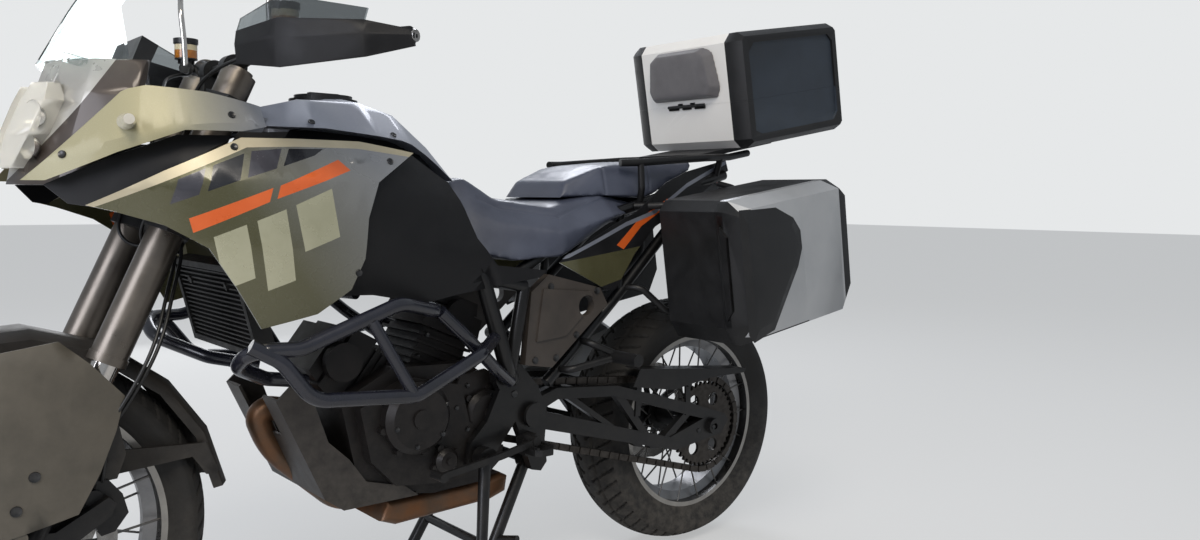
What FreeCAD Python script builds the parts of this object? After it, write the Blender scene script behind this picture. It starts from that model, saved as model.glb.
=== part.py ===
import FreeCAD, Part
import math
import os
import Sketcher

V = FreeCAD.Vector
doc = FreeCAD.newDocument("adventure_motorcycle")
sizes = doc.addObject("Spreadsheet::Sheet", "sizes")

# Driving dimensions in millimetres and degrees. X runs to the rear, Y to the right, Z up.
SIZES = (
    ("row_shift", -18, "moves the whole object so that its box is centred"),
    ("wheelbase", 1560, "axle to axle"),
    ("rear_axle_reach", 750, "rear axle behind the layout origin"),
    ("rake", 25, "steering axis from the vertical"),
    ("trail", 120, "ground trail of the front wheel"),
    ("front_radius", 325, "front tyre outer radius"),
    ("front_width", 120, "front tyre section width"),
    ("front_flange", 251, "front rim flange radius"),
    ("front_rim_width", 86, "front rim over its flanges"),
    ("rear_radius", 318, "rear tyre outer radius"),
    ("rear_width", 170, "rear tyre section width"),
    ("rear_flange", 226, "rear rim flange radius"),
    ("rear_rim_width", 140, "rear rim over its flanges"),
    ("rear_lift", 6, "air under the rear tyre on the centre stand"),
    ("tyre_wall", 11, "tyre carcass thickness"),
    ("rim_wall", 5, "rim thickness"),
    ("rim_drop", 22, "depth of the rim well"),
    ("spoke_radius", 2.2, "spoke half thickness"),
    ("spokes_each_side", 18, "spokes on each hub flange"),
    ("hub_radius", 27, "hub barrel radius"),
    ("hub_flange", 46, "hub flange radius"),
    ("front_hub_width", 144, "front hub over its ends"),
    ("rear_hub_width", 150, "rear hub over its ends"),
    ("axle_radius", 12.5, "axle half thickness"),
    ("axle_bore_radius", 8, "bore through the hollow axles"),
    ("run_fit", 0.08, "radial clearance of running fits"),
    ("seat_gap", 0.3, "clearance of seated curved faces"),
    ("front_disc_radius", 160, "front brake disc radius"),
    ("rear_disc_radius", 133, "rear brake disc radius"),
    ("disc_thick", 5, "brake disc thickness"),
    ("disc_band", 32, "width of the braking band"),
    ("disc_offset", 70, "front discs from the middle plane"),
    ("rear_disc_offset", 92, "rear disc from the middle plane"),
    ("fork_spread", 210, "between the fork legs"),
    ("fork_outer_radius", 30, "upper fork tube half thickness"),
    ("fork_inner_radius", 24, "chromed fork tube half thickness"),
    ("fork_top_height", 1105, "top of the fork tubes above ground"),
    ("fork_change_height", 628, "lower end of the upper fork tubes"),
    ("stem_radius", 17, "steering stem half thickness"),
    ("head_radius", 33, "steering head tube half thickness"),
    ("head_low", 860, "lower end of the head tube above ground"),
    ("head_high", 1030, "upper end of the head tube above ground"),
    ("clamp_thick", 30, "fork clamp thickness"),
    ("bar_radius", 11, "handlebar half thickness"),
    ("bar_half", 436, "handlebar end from the middle plane"),
    ("bar_height", 1136, "handlebar middle above ground"),
    ("grip_radius", 17, "grip half thickness"),
    ("grip_length", 125, "grip length"),
    ("frame_tube", 17, "main frame tube half thickness"),
    ("rail_tube", 13, "rear frame tube half thickness"),
    ("bar_guard_tube", 13, "engine guard tube half thickness"),
    ("rack_tube", 8, "case carrier tube half thickness"),
    ("pivot_reach", 155, "swingarm pivot behind the layout origin"),
    ("pivot_height", 440, "swingarm pivot above ground"),
    ("pivot_radius", 15, "swingarm pivot shaft half thickness"),
    ("arm_spread", 258, "between the swingarm legs"),
    ("sprocket_teeth", 42, "rear sprocket teeth"),
    ("front_teeth", 17, "engine sprocket teeth"),
    ("chain_pitch", 15.875, "chain link pitch"),
    ("chain_offset", 106, "chain line from the middle plane"),
    ("chain_height", 15, "height of a chain plate"),
    ("chain_core", 9, "width between the inner plates"),
    ("plate_thick", 2.2, "chain plate thickness"),
    ("output_reach", 70, "engine sprocket behind the layout origin"),
    ("output_height", 455, "engine sprocket above ground"),
    ("panel_wall", 4, "fairing panel thickness"),
    ("case_wall", 5, "luggage wall thickness"),
    ("top_case_length", 406, "top case along the bike"),
    ("top_case_width", 400, "top case across the bike"),
    ("top_case_height", 288, "top case height"),
    ("top_case_split", 118, "height of the top case joint line"),
    ("case_recess", 6, "depth of the recessed end panels of the top case"),
    ("top_case_tilt", 10.2, "top case rear end up"),
    ("pannier_length", 388, "pannier along the bike"),
    ("pannier_width", 243, "pannier across the bike"),
    ("pannier_height", 323, "pannier height"),
    ("pannier_split", 172, "depth of the pannier's inner shell"),
    ("pannier_tilt", 8.8, "pannier rear end up"),
    ("pannier_inner", 223, "pannier inner face from the middle plane"),
    ("seam", 0.3, "air between case and lid rims"),
    ("stand_pivot_reach", 172, "centre stand pivot behind the layout origin"),
    ("stand_pivot_height", 330, "centre stand pivot above ground"),
    ("stand_foot_reach", -8, "centre stand feet from the layout origin"),
    ("stand_spread", 270, "between the centre stand legs"),
    ("stand_tube", 13, "centre stand tube half thickness"),
    ("peg_height", 378, "rider pegs above ground"),
)
for row, (alias, value, note) in enumerate(SIZES, 1):
    sizes.set("A%d" % row, note)
    sizes.set("B%d" % row, str(value))
    sizes.setAlias("B%d" % row, alias)
doc.recompute()

NODES = {}


def c(alias):
    return float(getattr(sizes, alias))


def terms(text):
    """Words of an expression, with the sheet's name before each alias."""
    return " ".join("sizes." + w if w[0].isalpha() else w for w in text.split())


def number(text):
    """The value of a sum of products of aliases and plain numbers."""
    total, sign, product, over = 0.0, 1.0, 1.0, False
    for word in text.split():
        if word in ("+", "-"):
            total += sign * product
            sign, product = (1.0 if word == "+" else -1.0), 1.0
        elif word in ("*", "/"):
            over = word == "/"
        else:
            value = c(word) if word[0].isalpha() else float(word)
            product = product / value if over else product * value
            over = False
    return total + sign * product


def plane(body, role):
    return [f for f in body.Origin.OriginFeatures if f.Role == role][0]


def sketch(body, role, name, loops=(), circles=()):
    """A sketch of closed polygons and circles whose sizes are bound to the sheet."""
    sk = body.newObject("Sketcher::SketchObject", name)
    sk.AttachmentSupport = [(plane(body, role), "")]
    sk.MapMode = "FlatFace"
    bound = []
    for loop in loops:
        base = sk.GeometryCount
        spots = [V(number(a), number(b), 0) for a, b in loop]
        for i, spot in enumerate(spots):
            sk.addGeometry(Part.LineSegment(spot, spots[(i + 1) % len(spots)]), False)
        for i in range(len(spots)):
            after = base + (i + 1) % len(spots)
            sk.addConstraint(Sketcher.Constraint("Coincident", base + i, 2, after, 1))
        for i, (a, b) in enumerate(loop):
            for kind, text in (("DistanceX", a), ("DistanceY", b)):
                at = sk.addConstraint(
                    Sketcher.Constraint(kind, -1, 1, base + i, 1, number(text)))
                bound.append((at, text))
    for a, b, r in circles:
        at = sk.addGeometry(Part.Circle(V(number(a), number(b), 0), V(0, 0, 1), number(r)), False)
        for kind, text in (("DistanceX", a), ("DistanceY", b)):
            bound.append((sk.addConstraint(
                Sketcher.Constraint(kind, -1, 1, at, 3, number(text))), text))
        bound.append((sk.addConstraint(Sketcher.Constraint("Radius", at, number(r))), r))
    for at, text in bound:
        if any(w[0].isalpha() for w in text.split()):
            sk.setExpression("Constraints[%d]" % at, terms(text))
    return sk


def new_body(label):
    body = doc.addObject("PartDesign::Body", label)
    body.Label = label
    return body


def spun(label, profile):
    """A body turned about its own Y axis from a profile of (radius, y) corners."""
    body = new_body(label)
    sk = sketch(body, "XY_Plane", label + "_profile", [profile])
    turn = body.newObject("PartDesign::Revolution", label + "_turn")
    turn.Profile = sk
    turn.ReferenceAxis = (sk, ["V_Axis"])
    turn.Angle = 360
    body.Tip = turn
    return body


def padded(label, role, loops, circles, length, symmetric=True):
    """A body padded from a sketch."""
    body = new_body(label)
    sk = sketch(body, role, label + "_outline", loops, circles)
    pad = body.newObject("PartDesign::Pad", label + "_pad")
    pad.Profile = sk
    pad.setExpression("Length", terms(length))
    if symmetric:
        pad.SideType = "Symmetric"
    body.Tip = pad
    return body


def put(label, thing, at=None, turn=None):
    """Registers a piece and gives it its Placement."""
    if isinstance(thing, Part.Shape):
        obj = doc.addObject("Part::Feature", label)
        obj.Label = label
        obj.Shape = thing
    else:
        obj = thing
    spot = at if at is not None else V(0, 0, 0)
    spot = spot + V(c("row_shift"), 0, 0)
    own = thing.Placement if isinstance(thing, Part.Shape) else FreeCAD.Placement()
    obj.Placement = FreeCAD.Placement(spot, turn or FreeCAD.Rotation()).multiply(own)
    NODES[label] = obj
    return obj


def ring(points):
    return Part.makePolygon(list(points) + [points[0]])


def slab(points, way):
    return Part.Face(ring(points)).extrude(way)


def side_plate(outline, y0, y1):
    """A plate cut along a side view outline, from y0 to y1."""
    return slab([V(x, y0, z) for x, z in outline], V(0, y1 - y0, 0))


def top_plate(outline, z0, z1):
    return slab([V(x, y, z0) for x, y in outline], V(0, 0, z1 - z0))


def cross_plate(outline, x0, x1):
    return slab([V(x0, y, z) for y, z in outline], V(x1 - x0, 0, 0))


def rod(a, b, r):
    return Part.makeCylinder(r, (b - a).Length, a, b - a)


def taper(a, b, ra, rb):
    return Part.makeCone(ra, rb, (b - a).Length, a, b - a)


def bent(points, r, bend=None):
    """A round tube along straight runs joined by tangent arcs."""
    pts = [V(*p) if isinstance(p, tuple) else p for p in points]
    edges, start = [], pts[0]
    for i in range(1, len(pts) - 1):
        back, ahead = pts[i - 1] - pts[i], pts[i + 1] - pts[i]
        lb, la = back.Length, ahead.Length
        back.normalize()
        ahead.normalize()
        half = 0.5 * (math.pi - back.getAngle(ahead))
        if half < 0.01:
            continue
        room = 0.45 * min(lb, la)
        radius = room / math.tan(half)
        if bend:
            radius = min(radius, bend)
        cut = radius * math.tan(half)
        p, q = pts[i] + back * cut, pts[i] + ahead * cut
        middle = back + ahead
        middle.normalize()
        centre = pts[i] + middle * (radius / math.cos(half))
        if (p - start).Length > 0.01:
            edges.append(Part.LineSegment(start, p).toShape())
        edges.append(Part.Arc(p, centre - middle * radius, q).toShape())
        start = q
    edges.append(Part.LineSegment(start, pts[-1]).toShape())
    path = Part.Wire(edges)
    way = pts[1] - pts[0]
    disc = Part.Wire([Part.makeCircle(r, pts[0], way)])
    return path.makePipeShell([disc], True, False)


def less(shape, *tools):
    """The shape without what its neighbours take up, each cut only where their boxes meet."""
    for tool in tools:
        if shape.BoundBox.intersect(tool.BoundBox):
            shape = shape.cut(tool)
    return shape


def laid(label):
    """A registered piece's shape in layout coordinates."""
    return NODES[label].Shape.translated(V(-c("row_shift"), 0, 0))


def mirrored(shape):
    return shape.mirror(V(0, 0, 0), V(0, 1, 0))


def pair(shape):
    return Part.makeCompound([shape, mirrored(shape)])


def joined(*shapes):
    flat = []
    for s in shapes:
        flat.extend(s if isinstance(s, (list, tuple)) else [s])
    one = flat[0].multiFuse(flat[1:]) if len(flat) > 1 else flat[0]
    return one.removeSplitter()


def loft(sections, ruled=False):
    wires = [ring([V(*p) for p in section]) for section in sections]
    return Part.makeLoft(wires, True, ruled)


def skin(stations, wall, outline, ruled=False):
    """A panel: stations of (x, ((y, z), ...)) lofted to a wall and trimmed by a side outline."""
    sections = []
    for x, line in stations:
        outer = [(x, y, z) for y, z in line]
        inner = [(x, y + wall, z) for y, z in reversed(line)]
        sections.append(outer + inner)
    return loft(sections, ruled).common(side_plate(outline, -600, 600))


# Layout points that several pieces share.
xr = c("rear_axle_reach")
xf = xr - c("wheelbase")
zf = c("front_radius")
zr = c("rear_radius") + c("rear_lift")
rake = math.radians(c("rake"))
along = V(math.sin(rake), 0, math.cos(rake))
ahead = V(-math.cos(rake), 0, math.sin(rake))
foot = V(xf - c("trail"), 0, 0)
offset = zf * math.sin(rake) - c("trail") * math.cos(rake)
axle_lift = (zf - offset * math.sin(rake)) / math.cos(rake)
half_fork = c("fork_spread") / 2
pivot = V(c("pivot_reach"), 0, c("pivot_height"))
rear = V(xr, 0, zr)
front = V(xf, 0, zf)
fit = c("run_fit")
gap = c("seat_gap")
head_turn = FreeCAD.Rotation(V(0, 1, 0), c("rake"))


def steer(u, y, w):
    """A point u ahead of the steering axis, y across and w up along it."""
    return foot + ahead * u + along * w + V(0, y, 0)


def lift(z, u=0.0):
    """The distance up the axis at which a point u ahead of it is z above ground."""
    return (z - u * math.sin(rake)) / math.cos(rake)


# Wheels: tyre, drop-centre rim, laced spokes with the hub, and discs.
def tyre(label, radius, width, flange, rim):
    profile = (
        ("%s - 6" % flange, "%s * 0.5 - 6" % rim),
        ("%s + 8" % flange, "%s * 0.5 + 3" % rim),
        ("%s * 0.5 + %s * 0.5" % (flange, radius), "%s * 0.5" % width),
        ("%s - 26" % radius, "%s * 0.47" % width),
        ("%s - 11" % radius, "%s * 0.34" % width),
        ("%s - 3" % radius, "%s * 0.17" % width),
        ("%s" % radius, "0"),
        ("%s - 3" % radius, "-0.17 * %s" % width),
        ("%s - 11" % radius, "-0.34 * %s" % width),
        ("%s - 26" % radius, "-0.47 * %s" % width),
        ("%s * 0.5 + %s * 0.5" % (flange, radius), "-0.5 * %s" % width),
        ("%s + 8" % flange, "-0.5 * %s - 3" % rim),
        ("%s - 6" % flange, "-0.5 * %s + 6" % rim),
        ("%s - 6" % flange, "-0.5 * %s + 6 + tyre_wall" % rim),
        ("%s + 14" % flange, "-0.5 * %s + 12 + tyre_wall" % rim),
        ("%s - 14 - tyre_wall" % radius, "-0.3 * %s" % width),
        ("%s - 1 - tyre_wall" % radius, "0"),
        ("%s - 14 - tyre_wall" % radius, "0.3 * %s" % width),
        ("%s + 14" % flange, "0.5 * %s - 12 - tyre_wall" % rim),
        ("%s - 6" % flange, "0.5 * %s - 6 - tyre_wall" % rim),
    )
    return spun(label, profile)


def rim(label, flange, rim_width):
    """The drop-centre rim, whose bead seats lie just inside the tyre's beads."""
    fl, rw = flange, rim_width
    profile = (
        ("%s" % fl, "0.5 * %s" % rw),
        ("%s - 6.3" % fl, "0.5 * %s - 5.7" % rw),
        ("%s - 6.3" % fl, "0.5 * %s - 26" % rw),
        ("%s - 6.3 - rim_drop" % fl, "0.5 * %s - 34" % rw),
        ("%s - 6.3 - rim_drop" % fl, "-0.5 * %s + 34" % rw),
        ("%s - 6.3" % fl, "-0.5 * %s + 26" % rw),
        ("%s - 6.3" % fl, "-0.5 * %s + 5.7" % rw),
        ("%s" % fl, "-0.5 * %s" % rw),
        ("%s - 6.3 - rim_wall" % fl, "-0.5 * %s" % rw),
        ("%s - 6.3 - rim_wall" % fl, "-0.5 * %s + 26" % rw),
        ("%s - 6.3 - rim_drop - rim_wall" % fl, "-0.5 * %s + 34" % rw),
        ("%s - 6.3 - rim_drop - rim_wall" % fl, "0.5 * %s - 34" % rw),
        ("%s - 6.3 - rim_wall" % fl, "0.5 * %s - 26" % rw),
        ("%s - 6.3 - rim_wall" % fl, "0.5 * %s" % rw),
    )
    return spun(label, profile)


def spokes(flange, rim_width, hub_half, bore):
    """The hub barrel with its flanges, and spokes that cross in pairs to the rim edges."""
    hub_r, fl = c("hub_radius"), c("hub_flange")
    barrel = Part.makeCylinder(hub_r, 2 * hub_half, V(0, -hub_half, 0), V(0, 1, 0))
    sides = [Part.makeCylinder(fl, 7, V(0, s * (hub_half - 26) - 3.5, 0), V(0, 1, 0)) for s in (-1, 1)]
    hub = barrel.multiFuse(sides)
    hub = hub.cut(Part.makeCylinder(bore, 2 * hub_half + 2, V(0, -hub_half - 1, 0), V(0, 1, 0)))
    count = int(c("spokes_each_side"))
    top = flange - 6.3 - c("rim_wall") - gap
    rods = []
    for s in (-1, 1):
        y_hub = s * (hub_half - 26)
        y_rim = s * (rim_width / 2 - 13)
        for k in range(count):
            lean = 34 if k % 2 else -34
            at = 360.0 * k / count + (180.0 / count if s > 0 else 0)
            a = math.radians(at + lean)
            b = math.radians(at)
            inner = V((fl - 5) * math.cos(a), y_hub + (2.3 if k % 2 else -2.3), (fl - 5) * math.sin(a))
            outer = V(top * math.cos(b), y_rim, top * math.sin(b))
            rods.append(rod(inner, outer, c("spoke_radius")))
    return hub.multiFuse(rods)


def disc(radius, inner):
    """A brake disc: wavy edge, braking band with drilled slots and a spider."""
    count = 10
    edge = []
    for k in range(count * 6):
        a = 2 * math.pi * k / (count * 6)
        r = radius - (3.0 if k % 6 in (2, 3) else 0.0)
        edge.append(V(r * math.cos(a), 0, r * math.sin(a)))
    plate = slab(edge, V(0, c("disc_thick"), 0))
    holes = [Part.makeCylinder(inner, 20, V(0, -5, 0), V(0, 1, 0))]
    band = radius - c("disc_band")
    for k in range(count):
        a0 = 2 * math.pi * k / count
        a1 = a0 + 2 * math.pi / count * 0.62
        outline = []
        for r, angles in ((band, (a0, 0.5 * (a0 + a1), a1)), (inner + 14, (a1 + 0.16, a0 + 0.16))):
            outline.extend(V(r * math.cos(a), -5, r * math.sin(a)) for a in angles)
        holes.append(slab(outline, V(0, 20, 0)))
    return plate.cut(Part.makeCompound(holes))


put("front_tyre", tyre("front_tyre", "front_radius", "front_width", "front_flange", "front_rim_width"), front)
put("front_rim", rim("front_rim", "front_flange", "front_rim_width"), front)
bore = c("axle_radius") + fit
front_hub = spokes(c("front_flange"), c("front_rim_width"), c("front_hub_width") / 2, bore)
d = disc(c("front_disc_radius"), c("hub_radius") - 2)
d.translate(V(0, c("disc_offset") - c("disc_thick") / 2, 0))
put("front_hub_and_spokes", front_hub.multiFuse([d, mirrored(d)]), front)

put("rear_tyre", tyre("rear_tyre", "rear_radius", "rear_width", "rear_flange", "rear_rim_width"), rear)
put("rear_rim", rim("rear_rim", "rear_flange", "rear_rim_width"), rear)
rear_hub = spokes(c("rear_flange"), c("rear_rim_width"), c("rear_hub_width") / 2, bore)
d = disc(c("rear_disc_radius"), c("hub_radius") - 2)
d.translate(V(0, c("rear_disc_offset") - c("disc_thick") / 2, 0))
carrier = Part.makeCylinder(46, c("rear_disc_offset") - 70, V(0, 70, 0), V(0, 1, 0)).cut(
    Part.makeCylinder(bore, 100, V(0, 50, 0), V(0, 1, 0)))
put("rear_hub_and_spokes", rear_hub.multiFuse([d, carrier]), rear)

# Sprockets and the chain, whose loop runs clear of the tooth tips.
pitch = c("chain_pitch")


def sprocket_outline(teeth, y):
    pr = pitch / (2 * math.sin(math.pi / teeth))
    points = []
    for k in range(teeth):
        for share, r in ((-0.3, pr - 4.5), (-0.1, pr + 4.0), (0.1, pr + 4.0), (0.3, pr - 4.5)):
            a = 2 * math.pi * (k + share) / teeth
            points.append(V(r * math.cos(a), y, r * math.sin(a)))
    return points


teeth = int(c("sprocket_teeth"))
yc = -c("chain_offset")
wheel_sprocket = slab(sprocket_outline(teeth, yc - 4), V(0, 8, 0))
cuts = [Part.makeCylinder(c("axle_radius") + fit, 60, V(0, yc - 15, 0), V(0, 1, 0))]
for k in range(6):
    a = 2 * math.pi * k / 6
    mid = V(70 * math.cos(a), yc - 15, 70 * math.sin(a))
    cuts.append(Part.makeCylinder(17, 30, mid, V(0, 1, 0)))
drum = Part.makeCylinder(48, c("chain_offset") - c("rear_hub_width") / 2 - 4, V(0, yc + 4, 0), V(0, 1, 0))
wheel_sprocket = wheel_sprocket.fuse(drum).cut(Part.makeCompound(cuts))
put("rear_sprocket", wheel_sprocket, rear)
small = slab(sprocket_outline(int(c("front_teeth")), yc - 4), V(0, 8, 0))
small.translate(V(c("output_reach"), 0, c("output_height")))

chain_gap = 1.0
core_half = c("chain_height") / 2 - 2.5
big_r = pitch / (2 * math.sin(math.pi / teeth)) + 4.0 + chain_gap + c("chain_height") / 2
small_r = pitch / (2 * math.sin(math.pi / int(c("front_teeth")))) + 4.0 + chain_gap + c("chain_height") / 2


def chain_loop(ra, rb):
    """Corners of a loop round both sprockets: two tangent runs and two arcs."""
    a, b = V(c("output_reach"), 0, c("output_height")), rear
    line = b - a
    tilt = math.atan2(line.z, line.x)
    off = math.asin((rb - ra) / line.Length)
    up, down = tilt + math.pi / 2 + off, tilt - math.pi / 2 - off

    def spot(mid, r, angle):
        return V(mid.x + r * math.cos(angle), 0, mid.z + r * math.sin(angle))
    top_a, top_b = spot(a, ra, up), spot(b, rb, up)
    low_a, low_b = spot(a, ra, down), spot(b, rb, down)
    edges = [
        Part.LineSegment(top_a, top_b).toShape(),
        Part.Arc(top_b, spot(b, rb, tilt), low_b).toShape(),
        Part.LineSegment(low_b, low_a).toShape(),
        Part.Arc(low_a, spot(a, ra, tilt + math.pi), top_a).toShape(),
    ]
    return Part.Wire(edges)


def chain():
    """The rollers as one band, with pairs of plates outside and inside in turn."""
    outer = Part.Face(chain_loop(small_r + core_half, big_r + core_half))
    inner = Part.Face(chain_loop(small_r - core_half, big_r - core_half))
    half = c("chain_core") / 2
    band = outer.cut(inner).extrude(V(0, 2 * half, 0))
    band.translate(V(0, yc - half, 0))
    path = chain_loop(small_r, big_r)
    count = 2 * int(round(path.Length / pitch / 2))
    spots = path.discretize(count + 1)[:count]
    plates = []
    tall = c("chain_height") / 2
    for k in range(count):
        p, q = spots[k], spots[(k + 1) % count]
        way = (q - p).normalize()
        side = V(-way.z, 0, way.x)
        reach = 5.2
        level = half if k % 2 else half + c("plate_thick")
        corners = [p - way * reach + side * tall, q + way * reach + side * tall,
                   q + way * reach - side * tall, p - way * reach - side * tall]
        for s in (-1, 1):
            y0 = yc + s * level
            plates.append(slab([v + V(0, y0, 0) for v in corners], V(0, s * c("plate_thick"), 0)))
    return band, plates


band, plates = chain()
put("drive_chain", Part.makeCompound([band.multiFuse(plates), small]))
chain_pocket = Part.Face(chain_loop(small_r + 14, big_r + 14)).extrude(V(0, 32, 0)).translated(V(0, yc - 16, 0))
chain_band = chain_pocket.cut(
    Part.Face(chain_loop(small_r - 12, big_r - 12)).extrude(V(0, 40, 0)).translated(V(0, yc - 20, 0)))

# Steering: clamps, fork, guards, mudguard, brakes, handlebar and what it carries.
w_top = lift(c("fork_top_height"))
w_change = lift(c("fork_change_height"))
w_high = lift(c("head_high"))
w_low = lift(c("head_low"))
leg_u = offset
clamp = c("clamp_thick")


def fork_clamp(w, u_back):
    """A clamp that holds both fork tubes and the stem, as a waisted plate."""
    half = half_fork
    r = c("fork_outer_radius") + 9
    outline = [(u_back, -28), (u_back, 28), (leg_u - r, half), (leg_u - 12, half + r),
               (leg_u + 12, half + r), (leg_u + r, half), (leg_u + r - 12, half - r),
               (leg_u + 8, 0), (leg_u + r - 12, -half + r), (leg_u + r, -half),
               (leg_u + 12, -half - r), (leg_u - 12, -half - r), (leg_u - r, -half)]
    body = slab([steer(u, y, w) for u, y in outline], along * clamp)
    cuts = [rod(steer(leg_u, s * half, w - 5), steer(leg_u, s * half, w + clamp + 5),
                c("fork_outer_radius") + gap) for s in (-1, 1)]
    return body.cut(Part.makeCompound(cuts))


lower_w = w_low - clamp - 4
upper_w = w_high + 4
stem = rod(steer(0, 0, lower_w - 6), steer(0, 0, upper_w + clamp + 12), c("stem_radius"))
nut = rod(steer(0, 0, upper_w + clamp), steer(0, 0, upper_w + clamp + 16), 23)
union = slab([steer(u, y, lower_w - 20) for u, y in ((-28, -38), (6, -38), (6, 38), (-28, 38))], along * 22)
clamps = joined(fork_clamp(lower_w, -30), fork_clamp(upper_w, -34), stem, nut, union)
legs_outer, legs_inner = [], []
for s in (-1, 1):
    y = s * half_fork
    tube = rod(steer(leg_u, y, w_change), steer(leg_u, y, w_top), c("fork_outer_radius"))
    cap = rod(steer(leg_u, y, w_top), steer(leg_u, y, w_top + 8), 22)
    lip = rod(steer(leg_u, y, w_change - 14), steer(leg_u, y, w_change), c("fork_outer_radius") + 2)
    shaft = rod(steer(leg_u, y, w_change - 30), steer(leg_u, y, w_change + 60), c("fork_inner_radius") + gap)
    legs_outer.append(joined(tube, cap, lip).cut(shaft))
    slide = rod(steer(leg_u, y, axle_lift + 52), steer(leg_u, y, w_change + 58), c("fork_inner_radius"))
    legs_inner.append(slide)
put("fork_upper_tubes", Part.makeCompound(legs_outer))
axle_half = half_fork + 32
axle = rod(front + V(0, -axle_half, 0), front + V(0, axle_half, 0), c("axle_radius"))
heads = [rod(front + V(0, s * axle_half, 0), front + V(0, s * (axle_half + 8), 0), 17) for s in (-1, 1)]
feet = []
for s in (-1, 1):
    y = s * half_fork
    barrel = rod(steer(leg_u, y, axle_lift - 34), steer(leg_u, y, axle_lift + 150), 31)
    lug = slab([steer(leg_u + u, y - 20, axle_lift + w) for u, w in (
        (34, -26), (34, 34), (-34, 60), (-88, 132), (-104, 126), (-104, 104), (-50, 20), (-34, -30))],
        V(0, 24 if s < 0 else 24, 0))
    if s > 0:
        lug.translate(V(0, 16, 0))
    foot_shape = barrel.fuse(lug)
    feet.append(foot_shape)
lower_legs = joined(feet + legs_inner + heads + [axle])
lower_legs = lower_legs.cut(rod(front + V(0, -300, 0), front + V(0, 300, 0), c("axle_bore_radius")))
put("fork_lower_legs", lower_legs)


def caliper(side):
    """A four piston caliper astride the disc, behind the fork leg."""
    outline = [(-4, -44), (17, -50), (49, -34), (56, 0), (49, 34), (17, 50), (-4, 44)]
    a = math.radians(26)
    out = V(math.cos(a), 0, math.sin(a))
    up = V(-math.sin(a), 0, math.cos(a))
    base = front + out * (c("front_disc_radius") - c("disc_band") - 4)
    y = side * c("disc_offset")
    body = slab([base + out * u + up * v + V(0, y - side * 20, 0) for u, v in outline], V(0, side * 54, 0))
    slot = slab([base + out * u + up * v + V(0, y - 8, 0) for u, v in
                 ((-20, -70), (42, -70), (42, 70), (-20, 70))], V(0, 16, 0))
    body = body.cut(slot)
    caps = []
    for v in (-20, 20):
        at = base + out * 16 + up * v + V(0, y + side * 34, 0)
        caps.append(rod(at, at + V(0, side * 5, 0), 14))
    return body.multiFuse(caps)


calipers = [less(caliper(side), lower_legs) for side in (-1, 1)]
put("front_calipers", Part.makeCompound(calipers))

# The mudguard hoods the tyre and carries deep fork guards.
guard_r = c("front_radius") + 24
guard_half = c("front_width") / 2 + 11
wall = 3.5


def hood(a0, a1, steps, half, r, drop):
    """A curved hood from angle a0 to a1 round the axle, channel shaped."""
    sections = []
    for k in range(steps + 1):
        a = math.radians(a0 + (a1 - a0) * k / steps)
        out = V(math.cos(a), 0, math.sin(a))
        line = [(-half, -drop), (-half, 0), (-half * 0.62, 14), (half * 0.62, 14), (half, 0), (half, -drop)]
        inner = [(half - wall, -drop), (half - wall, -2), (half * 0.6, 14 - wall),
                 (-half * 0.6, 14 - wall), (-half + wall, -2), (-half + wall, -drop)]
        sections.append([tuple(front + out * (r + v) + V(0, y, 0)) for y, v in line + inner])
    return loft(sections, True)


crown = hood(168, 62, 5, guard_half, guard_r, 26)
tail = hood(62, 8, 3, guard_half - 14, guard_r - 2, 16)
guard_line = [(-1010, 640), (-742, 672), (-700, 634), (-648, 575), (-664, 520), (-690, 455),
              (-724, 394), (-836, 372), (-925, 430), (-985, 540)]
side = skin([(-1040, ((-78, 700), (-100, 610), (-112, 500), (-106, 360))),
             (-900, ((-96, 720), (-146, 640), (-152, 520), (-140, 350))),
             (-760, ((-100, 720), (-148, 640), (-156, 520), (-146, 350))),
             (-640, ((-96, 720), (-128, 640), (-134, 520), (-124, 350)))], wall, guard_line)
stay = [(-650, 520), (-640, 470), (-500, 462), (-478, 408), (-500, 404), (-524, 440), (-655, 430), (-690, 470)]
stay_plate = joined(
    side_plate(stay, -guard_half - 3, -guard_half + 5),
    side_plate([(-500, 462), (-478, 408), (-486, 404), (-506, 452)], -guard_half - 3, -guard_half + 17),
    side_plate([(-690, 470), (-655, 430), (-640, 470), (-650, 520)], -100, -guard_half),
    side_plate([(-738, 425), (-738, 456), (-690, 470), (-650, 500), (-655, 430)], -100, -78))
hooded = joined(crown, tail, stay_plate, mirrored(stay_plate))
upper_tubes = laid("fork_upper_tubes")
hooded = less(hooded, lower_legs, upper_tubes, *calipers)
put("front_mudguard", hooded)
bosses = [rod(V(x, -112, z), V(x, -side_y, z), 10) for x, z, side_y in ((-772, 404, 149), (-806, 372, 147))]
put("fork_guards", less(pair(joined(side, bosses)), lower_legs, upper_tubes, hooded))

bar_z = c("bar_height")
bar_base = steer(leg_u - 8, 0, upper_w + clamp)
bar_x = bar_base.x + 22
bar_half = c("bar_half")
bar_end = V(bar_x + 132, -bar_half, bar_z + 24)
knee_1, knee_2, knee_3 = V(bar_x, -72, bar_z), V(bar_x + 18, -168, bar_z + 26), V(bar_x + 30, -212, bar_z + 28)
bar_path = [mirrored_point for mirrored_point in (
    V(bar_end.x, bar_half, bar_end.z), V(knee_2.x, -knee_2.y, knee_2.z), V(knee_1.x, -knee_1.y, knee_1.z),
    knee_1, knee_2, bar_end)]
handlebar = bent(bar_path, c("bar_radius"), 70)
put("handlebar", handlebar)
risers = []
for s in (-1, 1):
    foot_at = steer(leg_u - 26, s * 52, upper_w + clamp + gap)
    top_at = V(bar_x, s * 52, bar_z)
    post = slab([foot_at + V(-19, -14, 0), foot_at + V(19, -14, 0), foot_at + V(19, 14, 0), foot_at + V(-19, 14, 0)],
                top_at - foot_at)
    head = rod(top_at + V(0, -14, 0), top_at + V(0, 14, 0), 22)
    one = post.fuse(head)
    risers.append(one)
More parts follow.
